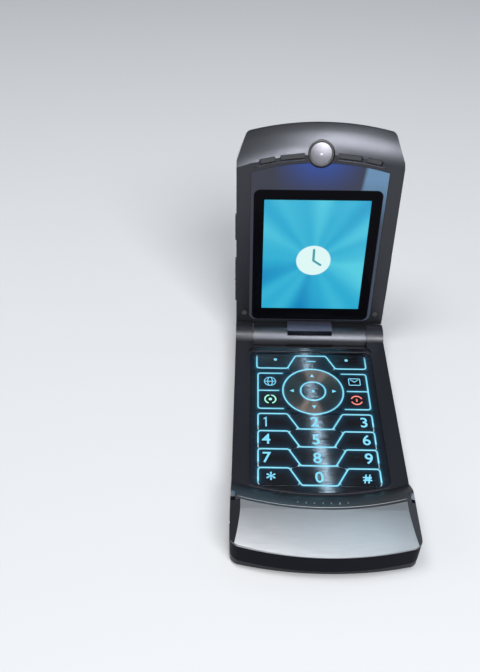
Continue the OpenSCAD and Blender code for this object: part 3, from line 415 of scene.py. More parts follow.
def key_metal(name, colour, roughness, wall_slope, turned=False):
    made, tree, shader = finish(name, Metallic=1.0, Anisotropic=1.0)
    if turned:
        away = vectors(tree, "SUBTRACT", place_on(tree), tuple(NAV))
        away = vectors(tree, "MULTIPLY", away, (1, 1, 0))
        distance = wire(tree, "CombineXYZ", vectors(tree, "LENGTH", away, out=1), 0.0, 0.0)
        grooves = grain(tree, 6000, detail=3, where=distance)
        uneven = grain(tree, 2500, detail=1)
        grooves = sums(tree, "MULTIPLY_ADD", uneven, 0.35, sums(tree, "MULTIPLY", grooves, 0.65))
        lean = vectors(tree, "NORMALIZE", away)
    else:
        grooves = grain(tree, 11000, (0.015, 1, 1), detail=2)
        lean = wire(tree, "CombineXYZ", BRUSH_LEAN, 1.0, 0.0)
    feed(tree, lean, shader.inputs["Tangent"])
    slope = sums(tree, "MULTIPLY", sums(tree, "SUBTRACT", grooves, 0.5 if turned else WALL_BIAS), wall_slope)
    tipped = vectors(tree, "MULTIPLY_ADD", lean, wire(tree, "CombineXYZ", slope, slope, slope),
                     wire(tree, "NewGeometry", out=1))
    feed(tree, vectors(tree, "NORMALIZE", tipped), shader.inputs["Normal"])
    feed(tree, between(tree, grooves, tuple(c * 0.8 for c in colour), tuple(c * 1.2 for c in colour)),
         shader.inputs["Base Color"])
    shader.inputs["Roughness"].default_value = roughness
    # Painted light: a soft blue halo, as emission, on the metal near each lit line.
    halo = ramp(tree, sums(tree, "DIVIDE", pad_glow(tree), 3.0),
                (0.0, (0.02, 0.28, 0.42)), (0.12, (0.004, 0.09, 0.16)), (0.35, (0.001, 0.018, 0.04)),
                (1.0, (0.0, 0.0, 0.002)))
    feed(tree, halo, shader.inputs["Emission Color"])
    shader.inputs["Emission Strength"].default_value = 0.5
    return made


pad_metal = key_metal("pad_metal", (0.055, 0.057, 0.063), 0.11, 1.5)
ring_metal = key_metal("ring_metal", (0.12, 0.094, 0.08), 0.35, 0.4, turned=True)
print("pad metal has", len(pad_metal.node_tree.nodes), "nodes")

# %% [markdown]
# ## Window and screens
# The lid's window is one plate of clear plastic, printed dark from behind except over the screen. So one
# material has two jobs: nearly see-through inside a rounded rectangle, dark and glossy outside it. Its
# colour also holds painted reflections: a blue-violet tint across the top middle, partly the coating's own
# colour and partly a painted reflection, and a light blue painted reflection down the right side, which
# grows towards the top. The measure to a rounded rectangle is the usual one: fold the point into one
# corner, then take the distance past the corner's centre.

# %% A rounded rectangle, as nodes
def lid_mm(tree):
    """The point on the shut lid in millimetres: x across, y up from the hinge."""
    shift, turn = tuple(LID_SHUT.to_translation()), tuple(LID_SHUT.to_euler())
    turned = wire(tree, "Mapping", place_on(tree), shift, turn)
    return vectors(tree, "MULTIPLY_ADD", turned, (1000, -1000, 0), (0, HINGE_Y / MM, 0))


def to_round_rect(tree, point, centre, half, corner):
    folded = vectors(tree, "ABSOLUTE", vectors(tree, "SUBTRACT", point, (*centre, 0)))
    past = vectors(tree, "SUBTRACT", folded, (half[0] - corner, half[1] - corner, 0))
    outside = vectors(tree, "LENGTH", vectors(tree, "MAXIMUM", past, (0, 0, 0)), out=1)
    return sums(tree, "SUBTRACT", outside, corner)


def edge(tree, distance, soft=0.05):
    """0 inside, 1 outside, with a soft edge."""
    return share_of(tree, distance, -soft, soft)


OUTER_MIDDLE = (0, 32.5)
# the middle, the half sizes and the corner's radius of each, in millimetres on the shut lid
SCREEN = ((0, 10.9 + 43.6 / 2), (34.9 / 2, 43.6 / 2), 0.3)
BEZEL = ((0, 32.2), (20.9, 25.9), 2.2)
OUTER_OPENING = (OUTER_MIDDLE, (8.6, 7.1), 0.4)


def smoked_window():
    made, tree, shader = finish("smoked_window", Roughness=0.06, IOR=1.5, Specular_IOR_Level=0.03)
    point = lid_mm(tree)
    opening = edge(tree, to_round_rect(tree, point, *SCREEN))
    bezel = edge(tree, to_round_rect(tree, point, *BEZEL), 0.12)
    across, up = [wire(tree, "SeparateXYZ", point, out=i) for i in (0, 1)]
    # Painted reflections: blue-violet over the top middle, partly the coating's own tint; light blue down the
    # right.
    top = share_of(tree, up, 56.0, 68.0)
    middle = share_of(tree, sums(tree, "ABSOLUTE", across), 3.0, 15.0, 1.0, 0.0)
    right = share_of(tree, sums(tree, "MULTIPLY_ADD", up, -0.12, across), 6.2, 7.4)
    tint_and_painted_reflection = between(tree, sums(tree, "MULTIPLY", top, middle), (0.036, 0.038, 0.05), (0.03, 0.058, 0.22))
    tint_and_painted_reflection = between(tree, sums(tree, "MULTIPLY", right, share_of(tree, up, 45.0, 62.0, 0.12)),
                   tint_and_painted_reflection, (0.10, 0.18, 0.28))
    feed(tree, between(tree, bezel, (0.002, 0.002, 0.003), tint_and_painted_reflection), shader.inputs["Base Color"])
    feed(tree, sums(tree, "MAXIMUM", opening, 0.04), shader.inputs["Alpha"])
    return made


window_glass = smoked_window()


def screen_picture(name, centre, half, middle, size):
    """Soft light that streams from the middle, behind a plain pale dial with two hands."""
    made, tree, shader = finish(name, Base_Color=(0.003, 0.003, 0.004), Roughness=0.3)
    point = lid_mm(tree)
    away = vectors(tree, "SUBTRACT", point, (*middle, 0))
    rays = wire(tree, "TexNoise", vectors(tree, "NORMALIZE", away), None, 1.4, 1.0, 0.5)
    far = share_of(tree, vectors(tree, "LENGTH", away, out=1), 1.5 * size, 5 * size, 0.35)
    rays = sums(tree, "MULTIPLY_ADD", sums(tree, "SUBTRACT", rays, 0.5), far, 0.5)
    sky = ramp(tree, rays, (0.36, (0.004, 0.25, 0.54)), (0.48, (0.02, 0.43, 0.68)),
               (0.62, (0.09, 0.64, 0.80)))
    dial = edge(tree, sums(tree, "SUBTRACT", vectors(tree, "LENGTH", away, out=1), size), 0.15)
    hands = nearest_of(tree, [to_stroke(tree, away, (0, 0), (0, size * 0.72)),
                              to_stroke(tree, away, (0, 0), (size * 0.42, -size * 0.3))])
    hands = edge(tree, sums(tree, "SUBTRACT", hands, size * 0.07), 0.08)
    lit = between(tree, dial, between(tree, hands, (0.05, 0.36, 0.42), (0.78, 1.0, 0.98)), sky)
    frame_edge = edge(tree, to_round_rect(tree, point, centre, half, 0.2))
    feed(tree, between(tree, frame_edge, lit, (0.0, 0.0, 0.0)), shader.inputs["Emission Color"])
    shader.inputs["Emission Strength"].default_value = 1.0
    return made


screen = screen_picture("main_screen", SCREEN[0], SCREEN[1], (0, 31.2), 5.9)
outer_screen = screen_picture("outer_screen", OUTER_MIDDLE, (9.0, 7.5), OUTER_MIDDLE, 2.4)
outer_glass, tree, shader = finish("outer_glass", Base_Color=(0.02, 0.025, 0.04), Roughness=0.04, IOR=1.5,
                                   Coat_Weight=1.0, Coat_Roughness=0.03)
opening = edge(tree, to_round_rect(tree, lid_mm(tree), *OUTER_OPENING))
feed(tree, sums(tree, "MAXIMUM", opening, 0.05), shader.inputs["Alpha"])
lens_glass = finish("lens_glass", Base_Color=(0.004, 0.004, 0.006), Roughness=0.05, Coat_Weight=1.0)[0]
print("screens:", screen.name, outer_screen.name)

# %% [markdown]
# ## Finishes onto the frame's pieces
# A piece of the frame keeps its mesh and takes a new material in its slots. One table says which piece has
# which finish, and the loop stops if a piece was forgotten.

# %% Give every piece its finish
finishes = {
    gunmetal: "front_housing hinge_cap_left hinge_cap_right hinge_cartridge",
    tongue_paint: "hinge_tongue",
    lid_paint: "lid_frame",
    dark_paint: "chin_frame",
    chin_silver: "chin_cover",
    shell_silver: "lid_shell battery_door",
    band_silver: "side_bands usb_trim",
    back_paint: "rear_housing door_latch",
    pad_metal: "keypad_panel key_soft_left key_menu key_soft_right key_browser key_message key_send key_end "
               "key_1 key_2 key_3 key_4 key_5 key_6 key_7 key_8 key_9 key_star key_0 key_hash key_select",
    ring_metal: "nav_ring",
    steel: "hinge_pins",
    chrome: "badge",
    window_glass: "display_window",
    screen: "main_display",
    outer_screen: "outer_display",
    outer_glass: "outer_window",
    lens_glass: "camera",
    black_plastic: "antenna loudspeaker earpiece usb_port",
    battery_plastic: "battery",
    rubber: "nav_gimbal",
    board_green: "main_board lid_board",
    clear_film: "light_sheet",
    dome_film: "dome_sheet",
    tin: "shield_cans sim_holder microphone vibrator",
    side_rubber: "volume_rocker smart_key voice_key",
}
waiting = set(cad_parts)
for made, names in finishes.items():
    for name in names.split():
        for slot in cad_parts[name].material_slots:
            slot.material = made
        waiting.discard(name)
assert not waiting, waiting
print(len(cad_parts), "pieces finished")

# %% [markdown]
# ## Sweeping the light guides
# A light guide is a narrow rib in the gap with a slightly wider lip over it. A curve with a profile curve
# sweeps that shape along the points; Blender keeps it upright when the curve is flat. Corners are first
# turned into short arcs. The result is made into a mesh, because a piece of the phone is a mesh like any
# other.

# %% Curve helpers
def softened(points, radius, steps=5):
    """The same path with every inner corner rounded."""
    path = [Vector(points[0])]
    for before, corner, after in zip(points, points[1:], points[2:]):
        before, corner, after = Vector(before), Vector(corner), Vector(after)
        into, out = (corner - before).normalized(), (after - corner).normalized()
        cut = min(radius * math.tan(into.angle(out) / 2), (corner - before).length / 2,
                  (after - corner).length / 2)
        a, b = corner - into * cut, corner + out * cut
        for i in range(steps + 1):
            t = i / steps
            path.append(a * (1 - t) ** 2 + corner * 2 * t * (1 - t) + b * t ** 2)
    return path + [Vector(points[-1])]


def circle(centre, radius, start=0, end=360, steps=48):
    turn = [math.radians(start + (end - start) * i / steps) for i in range(steps + 1)]
    return [Vector((centre[0] + radius * math.cos(a), centre[1] + radius * math.sin(a))) for a in turn]


def profile(name, points):
    """A closed cross-section for sweeping, from points in millimetres."""
    data = bpy.data.curves.new(name, "CURVE")
    spline = data.splines.new("POLY")
    spline.points.add(len(points) - 1)
    for point, (x, y) in zip(spline.points, points):
        point.co = (x * MM, y * MM, 0, 1)
    spline.use_cyclic_u = True
    made = bpy.data.objects.new(name, data)
    bpy.context.scene.collection.objects.link(made)
    return made


def as_mesh(name, source, matrix, made):
    """A mesh piece from a curve or text, moved into place."""
    bpy.context.scene.collection.objects.link(source)
    bpy.context.view_layer.update()
    mesh = bpy.data.meshes.new_from_object(source.evaluated_get(bpy.context.evaluated_depsgraph_get()))
    bpy.data.objects.remove(source)
    mesh.transform(matrix)
    form = bmesh.new()
    form.from_mesh(mesh)
    bmesh.ops.remove_doubles(form, verts=form.verts, dist=1e-7)
    bmesh.ops.recalc_face_normals(form, faces=form.faces)
    form.to_mesh(mesh)
    form.free()
    mesh.materials.clear()
    mesh.materials.append(made)
    piece = bpy.data.objects.new(name, mesh)
    bpy.context.scene.collection.objects.link(piece)
    return piece


def built(name, form, made):
    """The object of a finished bmesh, with one material."""
    mesh = bpy.data.meshes.new(name)
    form.to_mesh(mesh)
    form.free()
    mesh.materials.append(made)
    piece = bpy.data.objects.new(name, mesh)
    bpy.context.scene.collection.objects.link(piece)
    return piece


def sweep(name, paths, section, matrix, made):
    """One mesh from several flat paths in millimetres; a path whose ends meet is closed."""
    data = bpy.data.curves.new(name, "CURVE")
    data.dimensions, data.bevel_mode, data.bevel_object, data.use_fill_caps = "2D", "OBJECT", section, True
    for path in paths:
        closed = (path[0] - path[-1]).length < 1e-6
        path = path[:-1] if closed else path
        spline = data.splines.new("POLY")
        spline.points.add(len(path) - 1)
        for point, place in zip(spline.points, path):
            point.co = (place.x * MM, place.y * MM, 0, 1)
        spline.use_cyclic_u = closed
    return as_mesh(name, bpy.data.objects.new(name, data), matrix, made)


def plate(name, outlines, thickness, matrix, made, bevel=0.0):
    """A flat plate from outlines in millimetres, the later ones being holes; its middle lies on the plane."""
    data = bpy.data.curves.new(name, "CURVE")
    data.dimensions, data.fill_mode, data.extrude = "2D", "BOTH", (thickness / 2 - bevel) * MM
    data.bevel_depth, data.bevel_resolution, data.offset = bevel * MM, 2, -bevel * MM
    for outline in outlines:
        spline = data.splines.new("POLY")
        spline.points.add(len(outline) - 1)
        for point, place in zip(spline.points, outline):
            point.co = (place[0] * MM, place[1] * MM, 0, 1)
        spline.use_cyclic_u = True
    return as_mesh(name, bpy.data.objects.new(name, data), matrix, made)


def glow(name, colour, strength):
    """A lit material; slow noise keeps it from being one flat colour."""
    made, tree, shader = finish(name, Base_Color=tuple(c * 0.3 for c in colour), Roughness=0.4)
    uneven = grain(tree, 220, detail=1)
    darker, lighter = tuple(c * 0.82 for c in colour), tuple(min(1, c * 1.15) for c in colour)
    feed(tree, between(tree, uneven, darker, lighter), shader.inputs["Emission Color"])
    shader.inputs["Emission Strength"].default_value = strength
    return made


line_light = glow("line_light", (0.17, 0.52, 0.66), 1.0)
sign_light = glow("sign_light", (0.16, 0.52, 0.72), 1.0)
send_light = glow("send_light", (0.30, 0.80, 0.62), 1.0)
end_light = glow("end_light", (0.85, 0.20, 0.16), 1.0)
print("lights:", line_light.name, sign_light.name, send_light.name, end_light.name)

# %% [markdown]
# ## The lines themselves
# A lip on both sides would stand in the way of a piece that moves. The four-way ring tilts, so the line
# round it has its lip on the outer side only, over metal that stays still. The line round the select key has
# its lip on the inner side and rides on that key.

# %% Sweep the lines
GUIDE, LINE, ONE_LIP = 0.15, 0.25, 0.35
DEEP, UNDER, LIP, LINE_CORNER = -0.7, 0.01, 0.03, 1.1
guide = profile("guide_section", [(-GUIDE, DEEP), (GUIDE, DEEP), (GUIDE, UNDER), (LINE, UNDER), (LINE, LIP),
                                  (-LINE, LIP), (-LINE, UNDER), (-GUIDE, UNDER)])
at_pad = Matrix.Translation((0, 0, KEY_TOP))
key_lines = sweep("key_lines", [softened(line, LINE_CORNER) for line in lines], guide, at_pad, line_light)
one_lip = [(-GUIDE, DEEP), (GUIDE, DEEP), (GUIDE, LIP), (-ONE_LIP, LIP), (-ONE_LIP, UNDER), (-GUIDE, UNDER)]
outward = profile("outward_section", one_lip)
inward = profile("inward_section", [(-x, y) for x, y in one_lip])
ring_line = sweep("ring_line", [circle((0, y_nav), NAV_R, steps=96)], outward, at_pad, line_light)
select_line = sweep("select_line", [circle((0, y_nav), SELECT_R, steps=64)], inward, at_pad, line_light)
for piece, body in ((key_lines, "root"), (ring_line, "root"), (select_line, "key_select")):
    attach(piece, body)
    print(piece.name, "spans", [round(v / MM, 2) for v in piece.dimensions], "mm")

# %% [markdown]
# ## Digits and signs
# Digits start as text with a hair of thickness, made into a mesh before they are moved onto their keys. The
# one, drawn as two strokes, and the signs are swept like the lines, with a flat section that lies on the
# key. Each rides on its own key, so it goes down with it.

# %% Digits
HALF_THICK, BOLDER = 0.015 * MM, 0.06 * MM
COLUMNS, DIGIT_SIZE, HALF_ROW = (-15.9, -0.2, 15.7), 5.6, 3.5


def digit(name, text, x, y, size, body):
    data = bpy.data.curves.new(name, "FONT")
    data.body, data.size, data.extrude, data.resolution_u = text, size * MM, HALF_THICK, 3
    data.align_x, data.align_y = "CENTER", "CENTER"
    data.offset = BOLDER
    on_key = Matrix.Translation((x * MM, y * MM, KEY_TOP + HALF_THICK))
    piece = as_mesh(name, bpy.data.objects.new(name, data), on_key, sign_light)
    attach(piece, body)
    return piece


row_middle = [ROW_TOP - i * PITCH - HALF_ROW for i in range(4)]
for number in range(2, 10):
    row, column = divmod(number - 1, 3)
    digit(f"digit_{number}", str(number), COLUMNS[column], row_middle[row], DIGIT_SIZE, f"key_{number}")
digit("digit_0", "0", 0.0, row_middle[3], DIGIT_SIZE, "key_0")
digit("sign_star", "*", -14.6, row_middle[3] - 0.9, 6.6, "key_star")
digit("sign_hash", "#", 14.4, row_middle[3], 4.4, "key_hash")
print("the digits from 2 to 9, the zero, a star and a hash")

# %% [markdown]
# ## Signs
# Every sign is a few strokes round a point of its key: a globe, an envelope, pairs of arcs, dots and a dash.
# The four arrowheads of the ring are one small triangle, drawn along each of four directions.

# %% Signs
def flat_strip(name, half_width):
    return profile(name, [(-half_width, 0.003), (half_width, 0.003), (half_width, 0.03), (-half_width, 0.03)])


flat_section = flat_strip("sign_section", 0.22)
fine_section = flat_strip("fine_section", 0.15)


def sign(name, paths, body, made=sign_light, section=flat_section):
    piece = sweep(name, [[Vector(p) for p in path] for path in paths], section, at_pad, made)
    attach(piece, body)
    return piece


def oval(centre, rx, ry):
    return [Vector((centre[0] + p.x * rx, centre[1] + p.y * ry)) for p in circle((0, 0), 1, steps=28)]


one_y = row_middle[0]
sign("digit_1", [[(-16.7, one_y + 1.2), (-15.9, one_y + 1.75), (-15.9, one_y - 1.95)]], "key_1")
LEFT_X, RIGHT_X, GLOBE_Y, LETTER_Y, CALL_Y, SIGN_R = -14.4, 14.3, 19.5, 19.7, 11.4, 1.9
rounds = [oval((LEFT_X, GLOBE_Y), SIGN_R, SIGN_R), oval((LEFT_X, GLOBE_Y), 0.8, SIGN_R)]
equator = [(LEFT_X - SIGN_R, GLOBE_Y), (LEFT_X + SIGN_R, GLOBE_Y)]
sign("sign_globe", rounds + [equator], "key_browser", section=fine_section)
left, right, foot, head = RIGHT_X - SIGN_R, RIGHT_X + SIGN_R, LETTER_Y - 1.5, LETTER_Y + 1.5
envelope = softened([(RIGHT_X, head), (right, head), (right, foot), (left, foot), (left, head),
                     (RIGHT_X, head)], 0.4)
flap = [(RIGHT_X - 1.4, LETTER_Y + 1.1), (RIGHT_X, LETTER_Y - 0.1), (RIGHT_X + 1.4, LETTER_Y + 1.1)]
sign("sign_letter", [envelope, flap], "key_message", section=fine_section)
call, stop = (LEFT_X, CALL_Y), (RIGHT_X, CALL_Y)
call_arcs = [circle(call, 1.8, 100, 250, 20), circle(call, 1.8, -70, 80, 20)]
sign("sign_send", call_arcs + [circle(call, 0.35)], "key_send", send_light)
stop_arcs = [circle(stop, 1.8, 20, 160, 20), circle(stop, 1.8, 200, 340, 20)]
sign("sign_end", stop_arcs + [[(RIGHT_X, CALL_Y + 0.6), (RIGHT_X, CALL_Y - 0.6)]], "key_end", end_light)
for side, label in ((-1, "left"), (1, "right")):
    sign(f"sign_{label}", [circle((side * 12.4, 30.0), 0.35)], f"key_soft_{label}")
sign("sign_menu", [[(-1.6, 29.2), (1.6, 29.2)]], "key_menu")
ARROW_REACH, ARROW_FRONT, ARROW_BACK, ARROW_HALF = 7.0, 0.85, 0.55, 0.7
at_arrow = Matrix.Translation((0, 0, KEY_TOP + 0.018 * MM))
for i, (dx, dy) in enumerate(((1, 0), (0, 1), (-1, 0), (0, -1))):
    tip, side = Vector((dx, dy)), Vector((-dy, dx))
    middle = Vector((0, y_nav)) + tip * ARROW_REACH
    back = middle - tip * ARROW_BACK
    corners = [middle + tip * ARROW_FRONT, back + side * ARROW_HALF, back - side * ARROW_HALF]
    piece = plate(f"sign_way_{i}", [corners], 0.03, at_arrow, sign_light)
    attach(piece, "nav_ring")
sign("sign_select", [circle((0, y_nav), 0.3)], "key_select")
for section in (guide, outward, inward, flat_section, fine_section):
    bpy.data.objects.remove(section)

# %% [markdown]
# ## Trim
# A thin frame with rounded corners closes the edge of the keypad. Its outline follows the pad's own: two
# straight sides, and a bowed foot whose circle has its middle at the seam's.

# %% Keypad frame
PAD_R, PAD_SIDE, PAD_TOP = 78.7, 21.6, 34.0
FRAME_OUT, FRAME_IN, FRAME_T, FRAME_Z = 0.3, 0.35, 0.28, 7.93


def pad_outline(inset, corner):
    """The keypad's outline, inset and with rounded corners."""
    side, top, r = PAD_SIDE - inset, PAD_TOP - inset, PAD_R - inset
    path = []
    for sx, turn in ((1, 0), (-1, 90)):
        path += circle((sx * (side - corner), top - corner), corner, turn, turn + 90, 8)
    reach, aside = r - corner, side - corner
    low = SEAM_Y - math.sqrt(reach * reach - aside * aside)
    lean = math.degrees(math.asin(aside / reach))
    path += circle((-aside, low), corner, 180, 270 - lean, 8)
    path += circle((0, SEAM_Y), r, 270 - lean, 270 + lean, 24)[1:-1]
    path += circle((aside, low), corner, 270 + lean, 360, 8)
    return path


at_frame = Matrix.Translation((0, 0, FRAME_Z * MM))
frame_edges = [pad_outline(-FRAME_OUT, 2.0), pad_outline(FRAME_IN, 2.6)]
pad_frame = plate("pad_frame", frame_edges, FRAME_T, at_frame, gunmetal, bevel=0.1)
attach(pad_frame, "root")
print("keypad frame:", len(pad_frame.data.polygons), "faces")

# %% [markdown]
# ## Microphone grooves
# The slope is a swell: an arc turned about the seam's middle. `SWELL_AT` and `SWELL_Z` say where the arc's
# own middle lies, as a distance from that point and a height, and `SWELL_R` is its radius. So the height and
# the lean of the surface are known at any distance, and each groove gets a small bright pod that lies at
# that height and lean.

# %% Linings of the microphone grooves
SWELL_AT, SWELL_Z, SWELL_R = 92.5, -4.32, 18.0
GROOVE_R, GROOVE_PITCH, POD = 84.3, 2.4, Vector((0.3, 0.6, 0.14))


def swell_height(distance):
    return SWELL_Z + math.sqrt(SWELL_R ** 2 - (SWELL_AT - distance) ** 2)


form = bmesh.new()
swell_lean = math.asin((SWELL_AT - GROOVE_R) / SWELL_R)
for i in range(-3, 4):
    made = bmesh.ops.create_uvsphere(form, u_segments=16, v_segments=8, radius=1)["verts"]
    bmesh.ops.scale(form, vec=POD * MM, verts=made)
    bmesh.ops.rotate(form, verts=made, cent=(0, 0, 0), matrix=Matrix.Rotation(swell_lean, 3, "X").inverted())
    bmesh.ops.translate(form, verts=made, vec=Vector((0, -GROOVE_R, swell_height(GROOVE_R) - POD.z)) * MM)
    aside = Matrix.Rotation(i * GROOVE_PITCH / GROOVE_R, 3, "Z")
    bmesh.ops.rotate(form, verts=made, cent=(0, 0, 0), matrix=aside)
bmesh.ops.translate(form, verts=form.verts, vec=(0, SEAM_Y * MM, 0))
linings = built("groove_linings", form, tin)
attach(linings, "root")
print("groove linings:", len(linings.data.polygons), "faces")

# %% [markdown]
# ## Painted highlight at the edge of the seam
# A fine bright line runs along the head of the slope, a little before the seam itself, where the edge catches
# the light: here it is a painted highlight, a thin oval bar of lighter metal, half sunk in the swell.

# %% Painted highlight at the edge of the seam
EDGE_R, EDGE_SPAN = 86.5, 16.6


def oval_section(name, half_width, half_height, corners):
    turn = [math.tau * k / corners for k in range(corners)]
    return profile(name, [(half_width * math.cos(a), half_height * math.sin(a)) for a in turn])


edge_section = oval_section("edge_section", 0.13, 0.1, 8)
edge_path = circle((0, SEAM_Y), EDGE_R, 270 - EDGE_SPAN, 270 + EDGE_SPAN, 48)
edge_z = swell_height(EDGE_R)
at_edge = Matrix.Translation((0, 0, edge_z * MM))
seam_edge_highlight = sweep("seam_edge_highlight", [edge_path], edge_section, at_edge, seam_highlight_metal)
bpy.data.objects.remove(edge_section)
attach(seam_edge_highlight, "root")
print("seam edge at height", round(edge_z, 2))

# %% [markdown]
# ## Lip of the hinge tongue
# The lip is the piece of a tube round the hinge that lies between two angles. So its section is an outer arc
# and an inner arc, and one straight sweep makes it.

# %% Lip of the hinge tongue
TONGUE_LOW, TONGUE_HIGH, TONGUE_OUT, TONGUE_IN, TONGUE_HALF = 22, 37, 6.1, 5.3, 7.9
arc_out = circle((0, 0), TONGUE_OUT, TONGUE_LOW, TONGUE_HIGH, 6)
arc_in = circle((0, 0), TONGUE_IN, TONGUE_HIGH, TONGUE_LOW, 6)
lip_section = profile("lip_section", [(p.y, p.x) for p in arc_out + arc_in])
lip_path = [Vector((-TONGUE_HALF, 0)), Vector((TONGUE_HALF, 0))]
# Painted shade: the lip is painted nearly black, for the dark line of shade along the tongue's lower edge.
tongue_lip = sweep("tongue_lip", [lip_path], lip_section, to_hinge, dark_paint)
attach(tongue_lip, "lid")
bpy.data.objects.remove(lip_section)
print("tongue lip spans", [round(v / MM, 2) for v in tongue_lip.dimensions], "mm")

# %% [markdown]
# ## Rings on the hinge caps
# Each end of the hinge has a plain bright ring. It is swept flat and then turned to face outwards, left or
# right, on the cap's own outer face.

# %% Rings on the hinge caps
CAP_RING_R = 3.5
cap_section = profile("cap_section", [(-0.2, -0.03), (0.2, -0.03), (0.17, 0.05), (-0.17, 0.05)])
for side, label in ((-1, "left"), (1, "right")):
    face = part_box(f"hinge_cap_{label}")[0 if side < 0 else 1].x
    at_cap = Matrix.Translation((face, HINGE_Y, HINGE_Z)) @ Matrix.Rotation(side * math.pi / 2, 4, "Y")
    cap_ring = sweep(f"cap_ring_{label}", [circle((0, 0), CAP_RING_R, steps=64)], cap_section, at_cap, tin)
    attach(cap_ring, "root")
    print(cap_ring.name, "on a face at", round(face / MM, 2))
bpy.data.objects.remove(cap_section)

# %% [markdown]
# ## Trim of the lid
# Over the window runs an arch, `ARCH_UP` up the lid, with a bead along it that stops for the badge. Above it
# are four slots, lined with dark cloth, and round the badge lies a ring that leans as the badge does. All of
# it is placed on the shut lid and carried open by the one matrix.

# %% Lid trim
ARCH_R, ARCH_UP, ARCH_END, ARCH_GAP = 75.0, 67.5, 20.5, 4.6
BEAD_OUT, CLOTH_LOW, CLOTH_TOP = 1.0, 1.6, 3.0
BEAD_Z, CLOTH_Z = 8.3, 8.78
SLOTS = ((8.7, 7.6), (16.3, 5.0))  # how far out the middle of each lies, and its length
BADGE_UP, BADGE_LEAN, BADGE_Z, BADGE_RING_R = 70.0, math.radians(20.95), 9.87, 3.75


def arch(radius, start, end, steps=24):
    """Points along the arch over the window, from one distance across to another."""
    angle = [math.asin(x / radius) for x in (start, end)]
    turn = [angle[0] + (angle[1] - angle[0]) * i / steps for i in range(steps + 1)]
    middle = HINGE_Y / MM - ARCH_UP + ARCH_R
    return [Vector((radius * math.sin(a), middle - radius * math.cos(a))) for a in turn]


bead = profile("bead", [(-0.16, 0.12), (-0.1, -0.04), (0.1, -0.04), (0.16, 0.12)])
bead_paths = [arch(ARCH_R + BEAD_OUT, -ARCH_END, -ARCH_GAP), arch(ARCH_R + BEAD_OUT, ARCH_GAP, ARCH_END)]
at_bead = LID_OPEN @ Matrix.Translation((0, 0, BEAD_Z * MM))
arch_bead = sweep("arch_bead", bead_paths, bead, at_bead, lid_paint)
bpy.data.objects.remove(bead)
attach(arch_bead, "lid")
cloths = []
for s in (-1, 1):
    for middle, length in SLOTS:
        low, high = (s * middle - length / 2, s * middle + length / 2)
        cloths.append(arch(ARCH_R + CLOTH_LOW, low, high, 8) + arch(ARCH_R + CLOTH_TOP, high, low, 8))
at_slots = LID_OPEN @ Matrix.Translation((0, 0, CLOTH_Z * MM))
for i, outline in enumerate(cloths):
    cloth = plate(f"ear_cloth_{i}", [outline], 0.1, at_slots, battery_plastic)
    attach(cloth, "lid")
badge_at = LID_OPEN @ Matrix.Translation(on_lid(0, BADGE_UP, BADGE_Z)) @ Matrix.Rotation(-BADGE_LEAN, 4, "X")
ring_section = oval_section("ring_section", 0.5, 0.34, 12)
ring_path = circle((0, 0), BADGE_RING_R, steps=64)
badge_ring = sweep("badge_ring", [ring_path], ring_section, badge_at, black_plastic)
bpy.data.objects.remove(ring_section)
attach(badge_ring, "lid")
print("lid trim:", len(arch_bead.data.polygons), len(cloths), len(badge_ring.data.polygons))

# %% [markdown]
# ## Screws and feet on the lid
# Two screws by the earpiece are hidden under round plugs, and two little rubber feet low on the lid keep it
# off the keys. Each is a disc from bmesh with its rim bevelled, made on the shut lid and turned open with
# it.

# %% Plugs
def disc(name, radius, thickness, centre, matrix, made, body, bevel):
    form = bmesh.new()
    bmesh.ops.create_cone(form, cap_ends=True, segments=40, radius1=radius * MM, radius2=radius * MM,
                          depth=thickness * MM)
    rims = [edge for edge in form.edges if abs(edge.verts[0].co.z - edge.verts[1].co.z) < 1e-9]
    bmesh.ops.bevel(form, geom=rims, offset=bevel * MM, affect="EDGES", segments=3, profile=0.5, material=-1)
    bmesh.ops.translate(form, verts=form.verts, vec=centre)
    piece = built(name, form, made)
    piece.data.transform(matrix)
    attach(piece, body)
    return piece


PLUG_X, PLUG_UP, PLUG_Z = 21.6, 66.4, 8.33
FOOT_X, FOOT_UP, FOOT_Z = 23.6, 9.0, 8.3
for side, label in ((-1, "left"), (1, "right")):
    at_plug, at_foot = on_lid(side * PLUG_X, PLUG_UP, PLUG_Z), on_lid(side * FOOT_X, FOOT_UP, FOOT_Z)
    disc(f"plug_{label}", 0.95, 0.2, at_plug, LID_OPEN, lid_paint, "lid", 0.08)
    disc(f"foot_{label}", 0.9, 0.3, at_foot, LID_OPEN, rubber, "lid", 0.1)
print("two plugs and two feet")

# %% [markdown]
# ## Floor and light
# The floor is a plain flat sheet, a metre to each side, a hair under the phone. It is painted a light grey,
# which looks pale under these lamps.

# %% Floor
FLOOR_HALF, FLOOR_GAP = 1, 0.00005
floor_paint, tree, shader = finish("floor_paint", Roughness=0.9)
light_grey = between(tree, grain(tree, 3), (0.46, 0.467, 0.478), (0.49, 0.496, 0.505))
feed(tree, light_grey, shader.inputs["Base Color"])
form = bmesh.new()
bmesh.ops.create_grid(form, x_segments=1, y_segments=1, size=FLOOR_HALF)
floor = built("floor", form, floor_paint)
floor.data.transform(Matrix.Translation((0, 0, cad_low.z - FLOOR_GAP)))
floor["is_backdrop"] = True
print("floor at", round(cad_low.z / MM, 2), "mm")

# %% [markdown]
# ## Lamps
# Six area lamps light the phone: one high on the left, a broad weak one at the left side, one above and
# before the pad, a strong one further in front, a broad bluish one on the right and a long thin one. Five of
# them look at a point on the phone. The thin one lies level and looks straight down. It is turned to match
# the lean of the brushing, because the brushed keys draw it out into one bright streak. A mirror-like piece
# shows the sky too, so that is pale in front, deep blue on the right and dark grey elsewhere, lighter
# overhead. Only the camera sees it as an even pale backdrop.

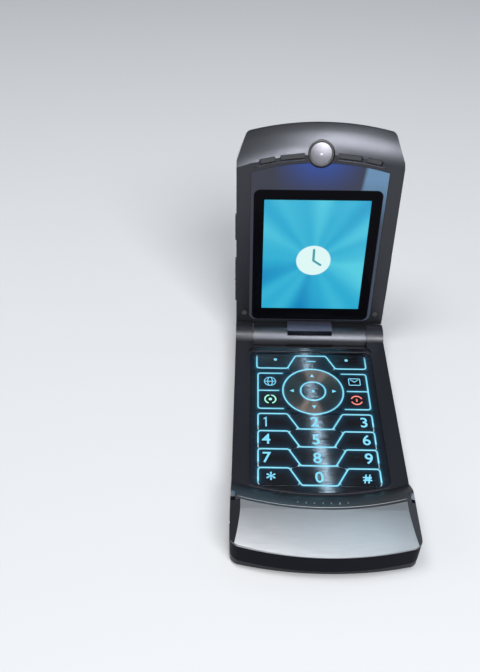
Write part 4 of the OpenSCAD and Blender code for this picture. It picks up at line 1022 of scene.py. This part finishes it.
# %% Lamps
def lamp(name, place, target, size, power, colour=(1, 1, 1)):
    data = bpy.data.lights.new(name, "AREA")
    data.shape, data.size, data.size_y, data.energy, data.color = "RECTANGLE", size[0], size[1], power, colour
    made = bpy.data.objects.new(name, data)
    made.location = place
    made.rotation_euler = (Vector(target) - Vector(place)).to_track_quat("-Z", "Y").to_euler()
    bpy.context.scene.collection.objects.link(made)
    return made


lamp("lamp_left", (-0.25, -0.09, 0.86), (0, 0, 0.03), (0.3, 0.26), 4.0)
lamp("lamp_side", (-0.9, -0.2, 0.5), (0, 0, 0.03), (0.5, 0.5), 1.5)
lamp("lamp_over", (-0.02, -0.33, 0.86), (0, 0, 0.03), (0.2, 0.16), 2.6)
lamp("lamp_front", (0.25, -0.6, 0.7), (0, 0, 0.06), (0.45, 0.36), 9.0)
lamp("lamp_right", (0.8, 0.1, 0.5), (0, 0, 0.04), (0.4, 0.7), 0.8, (0.5, 0.7, 1.0))
streak = lamp("lamp_streak", (0.133, 0.12, 0.72), (0.0, 0.0, 0.0), (0.006, 0.3), 0.22, (0.66, 0.9, 1.0))
streak.rotation_euler = (0, 0, math.atan(-BRUSH_LEAN))
world = bpy.data.worlds.new("studio")
bpy.context.scene.world = world
world.use_nodes = True
tree = world.node_tree
across, back, up = [wire(tree, "SeparateXYZ", wire(tree, "TexCoord", out=0), out=i) for i in range(3)]
sky = ramp(tree, up, (0.0, (0.10, 0.11, 0.13)), (0.3, (0.16, 0.17, 0.2)), (1.0, (0.3, 0.32, 0.35)))
sky = between(tree, share_of(tree, across, 0.1, 0.8), sky, (0.03, 0.06, 0.12))
sky = between(tree, share_of(tree, back, -0.3, -0.9), sky, (0.45, 0.47, 0.5))
seen = wire(tree, "LightPath", out=0)
feed(tree, between(tree, seen, sky, (0.9, 0.93, 0.97)), tree.nodes["Background"].inputs[0])
tree.nodes["Background"].inputs[1].default_value = 0.8
bpy.context.scene.view_settings.view_transform = "Standard"
print(len(bpy.data.lights), "lamps and a pale sky")

# %% [markdown]
# ## Sizes and the end
# The box round everything visible is printed at the end, and the imported model's own size at the start,
# so that the two can be compared. The additions must not stand out of it.

# %% Sizes and the end
low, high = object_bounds()
print("visual box in mm:", [round(v / MM, 2) for v in low], [round(v / MM, 2) for v in high])
